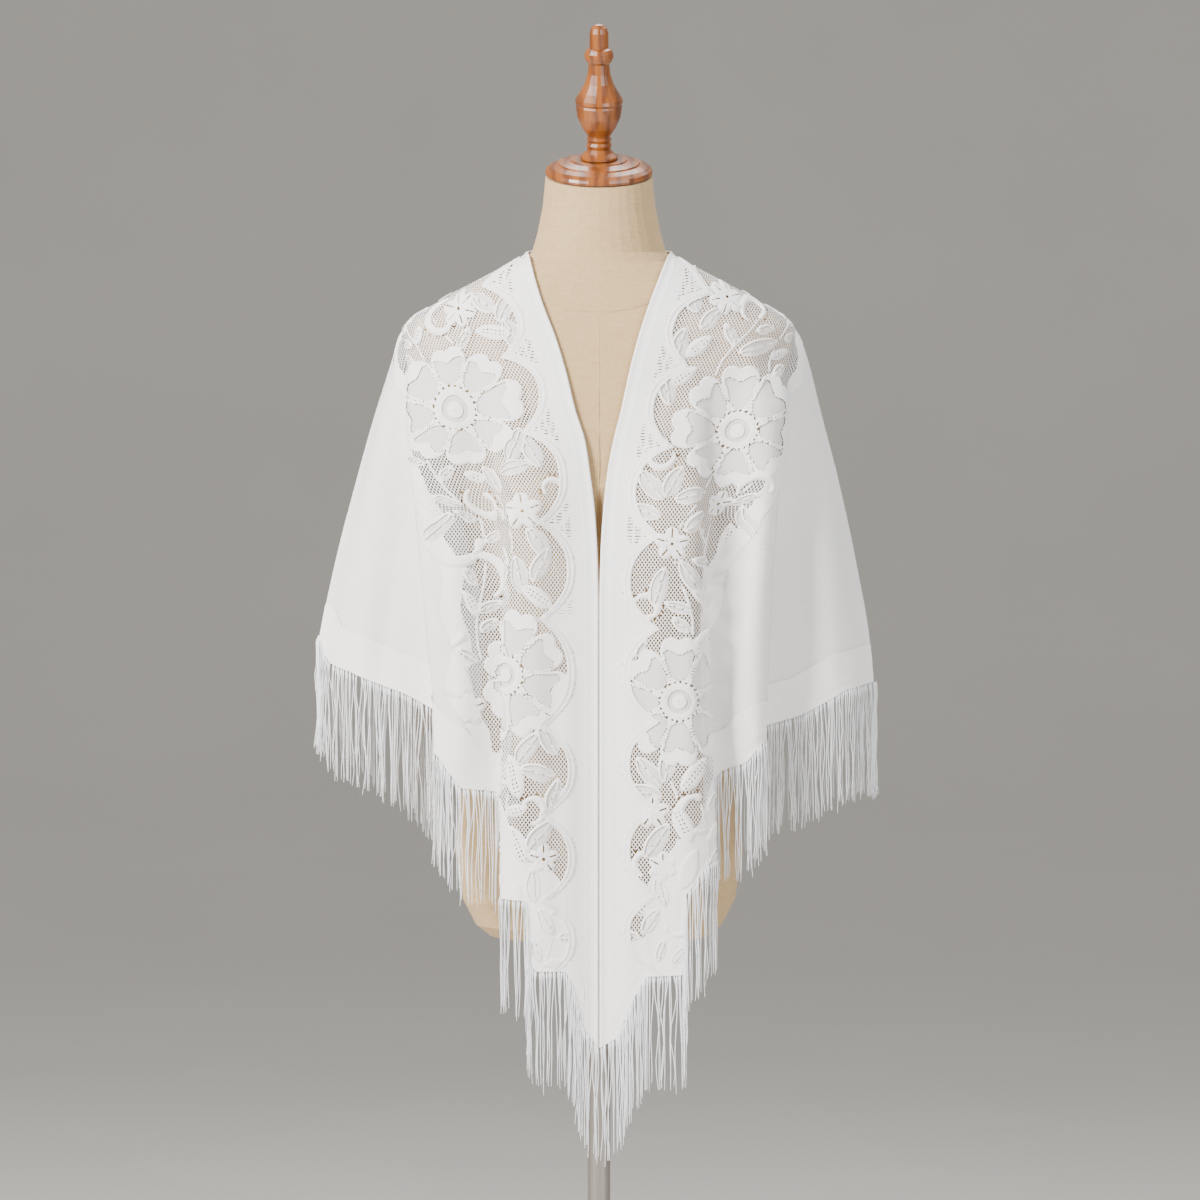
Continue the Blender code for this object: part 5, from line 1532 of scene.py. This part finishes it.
def light(name, place, aim, size, power, colour=(1.0, 1.0, 1.0)):
    """Soft square light."""
    data = bpy.data.lights.new(name, "AREA")
    data.size = size
    data.energy = power
    data.color = colour
    obj = bpy.data.objects.new(name, data)
    obj.location = place
    obj.rotation_euler = (Vector(aim) - Vector(place)).to_track_quat("-Z", "Y").to_euler()
    bpy.context.scene.collection.objects.link(obj)


FLOOR_HALF = 12.0


def build_set():
    """Floor that curves up into a backdrop, lights, world and camera."""
    profile = ((-6.0, 0.0), (4.2, 0.0), (5.6, 0.08), (7.0, 0.35), (8.2, 1.0), (8.9, 2.2), (9.1, 3.4),
               (9.2, 7.0))
    verts = [(x, y, z) for y, z in profile for x in (-FLOOR_HALF, FLOOR_HALF)]
    faces = grid_faces(len(profile), 2)
    mesh = bpy.data.meshes.new("studio_floor")
    mesh.from_pydata(verts, [], faces)
    mesh.polygons.foreach_set("use_smooth", [True] * len(faces))
    mesh.materials.append(floor_material())
    floor = bpy.data.objects.new("studio_floor", mesh)
    bpy.context.scene.collection.objects.link(floor)
    light("key", (-2.2, -2.1, 2.5), (0.0, 0.0, 1.1), 1.1, 335.0, (1.0, 0.985, 0.96))
    light("fill", (2.0, -2.4, 1.6), (0.0, 0.0, 1.0), 2.0, 74.0, (0.96, 0.98, 1.0))
    light("top", (0.2, 0.6, 3.2), (0.0, 0.0, 1.2), 1.6, 60.0)
    world = bpy.data.worlds.new("studio")
    world.use_nodes = True
    sky = world.node_tree.nodes["Background"]
    sky.inputs["Color"].default_value = (0.86, 0.825, 0.80, 1.0)
    sky.inputs["Strength"].default_value = 0.54
    bpy.context.scene.world = world
    data = bpy.data.cameras.new("camera")
    data.lens = 133.0
    data.sensor_width = 36.0
    data.shift_y = -0.077
    camera = bpy.data.objects.new("camera", data)
    camera.location = (0.001, -4.53, 1.10)
    camera.rotation_euler = (np.radians(90.0), 0.0, 0.0)
    bpy.context.scene.collection.objects.link(camera)
    bpy.context.scene.camera = camera


def repaint(name, material):
    """Give a carried-over solid its finished material."""
    obj = frame["nodes"][name]
    for slot in obj.material_slots:
        slot.material = material
    if len(obj.material_slots) == 0:
        obj.data.materials.append(material)


def main():
    """Dress the frame."""
    white = (0.93, 0.905, 0.895)
    shade = (0.87, 0.845, 0.835)
    mats = {
        "lace": knit_material("lace_dense", white, shade, 1.1, 0.25, 0.3),
        "plain": knit_material("lace_plain", (0.88, 0.86, 0.85), (0.82, 0.80, 0.795), 1.6, 0.3, 0.3,
                               coverage=0.93),
        "sheer": knit_material("lace_sheer", (0.90, 0.865, 0.845), (0.84, 0.80, 0.78), 1.4, 0.2, 0.2,
                               coverage=0.78),
        "net": knit_material("lace_net_thread", white, shade, 0.8, 0.1, 0.2),
        "band": knit_material("lace_edge_band", (0.94, 0.915, 0.91), (0.90, 0.875, 0.87), 1.3, 0.3,
                              0.3),
        "silk": silk_material("fringe_silk", (0.92, 0.925, 0.94), (0.84, 0.855, 0.885)),
    }
    linen = linen_material("linen_cover", (0.51, 0.35, 0.18), (0.42, 0.27, 0.122))
    wood = wood_material("varnished_turned_wood", (0.235, 0.066, 0.0075), (0.11, 0.027, 0.0035))
    metal = metal_material("satin_metal", (0.40, 0.36, 0.32), (0.30, 0.27, 0.24))
    for name in ("neck_cap", "finial"):
        repaint(name, wood)
    for name in ("pole", "base_disc"):
        repaint(name, metal)
    repaint("form_torso", linen)
    for piece in build_seams(linen):
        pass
    sheets = {}
    cloth = []
    for side, word in WORDS.items():
        sheet = front_sheet(side)
        zs = np.arange(LACE_FOOT, LACE_TOP, LACE_STEP)
        runs = np.arange(LACE_NEAR, LACE_FAR, LACE_STEP)
        gap = hem_distance(sheet, zs, runs)
        field = front_pattern(sheet, zs, runs, gap)
        flip = side < 0
        pieces = lace_pieces(word, sheet, field, zs, runs, mats, flip)
        plain = plain_cloth(word + "_plain_cloth", sheet, mats["plain"], flip)
        border = hem_border(word + "_hem_border", sheet, mats["lace"], flip)
        band = edge_band(word + "_band", sheet, side, mats["band"])
        fringe = fringe_strands(word + "_front_fringe", sheet, -1, FRONT_PITCH, mats["silk"],
                                20 + side)
        half = back_sheet(side)
        zb = np.arange(BACK_LACE_FOOT, LACE_TOP, BACK_LACE_STEP)
        rb = np.arange(0.0, BACK_LACE_FAR, BACK_LACE_STEP)
        pattern = back_pattern(half, zb, rb)
        pieces += lace_pieces(word + "_back", half, pattern, zb, rb, mats, not flip)
        back = plain_cloth(word + "_back_plain", half, mats["plain"], not flip)
        foot = float(sheet["hem_z"][np.argmax(sheet["places"])])
        strip = ridge_strip(word + "_fold_strip", sheet, half, mats["plain"], foot, RIDGE_LACE)
        strip_top = ridge_strip(word + "_fold_sheer", sheet, half, mats["sheer"], RIDGE_LACE - 2.0,
                                RIDGE_TOP)
        back_border = hem_border(word + "_back_border", half, mats["lace"], not flip)
        back_fringe = fringe_strands(word + "_back_fringe", half, 1, BACK_PITCH, mats["silk"],
                                     40 + side)
        cloth += [plain, back, pieces[0], pieces[3], strip, strip_top]
        sheets[word] = {"lace": pieces[1:3] + pieces[4:], "border": border, "band": band,
                        "fringe": fringe, "back_border": back_border, "back_fringe": back_fringe}
    finish_pieces(joined("shawl_cloth", cloth), sheets)
    build_set()


def finish_pieces(cloth, sheets):
    """Hide the frame's solids whose place the built cloth, lace, band and fringe pieces take."""
    others = []
    for word, p in sheets.items():
        lace = p["lace"] + [p["border"], p["back_border"]]
        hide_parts(word + "_front")
        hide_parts(word + "_edge_band")
        for part in ("low", "high", "fold", "sleeve"):
            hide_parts(word + "_fringe_" + part)
        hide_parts("back_fringe_" + word)
        others += lace + [p["band"], p["fringe"], p["back_fringe"]]
    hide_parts("back")


main()
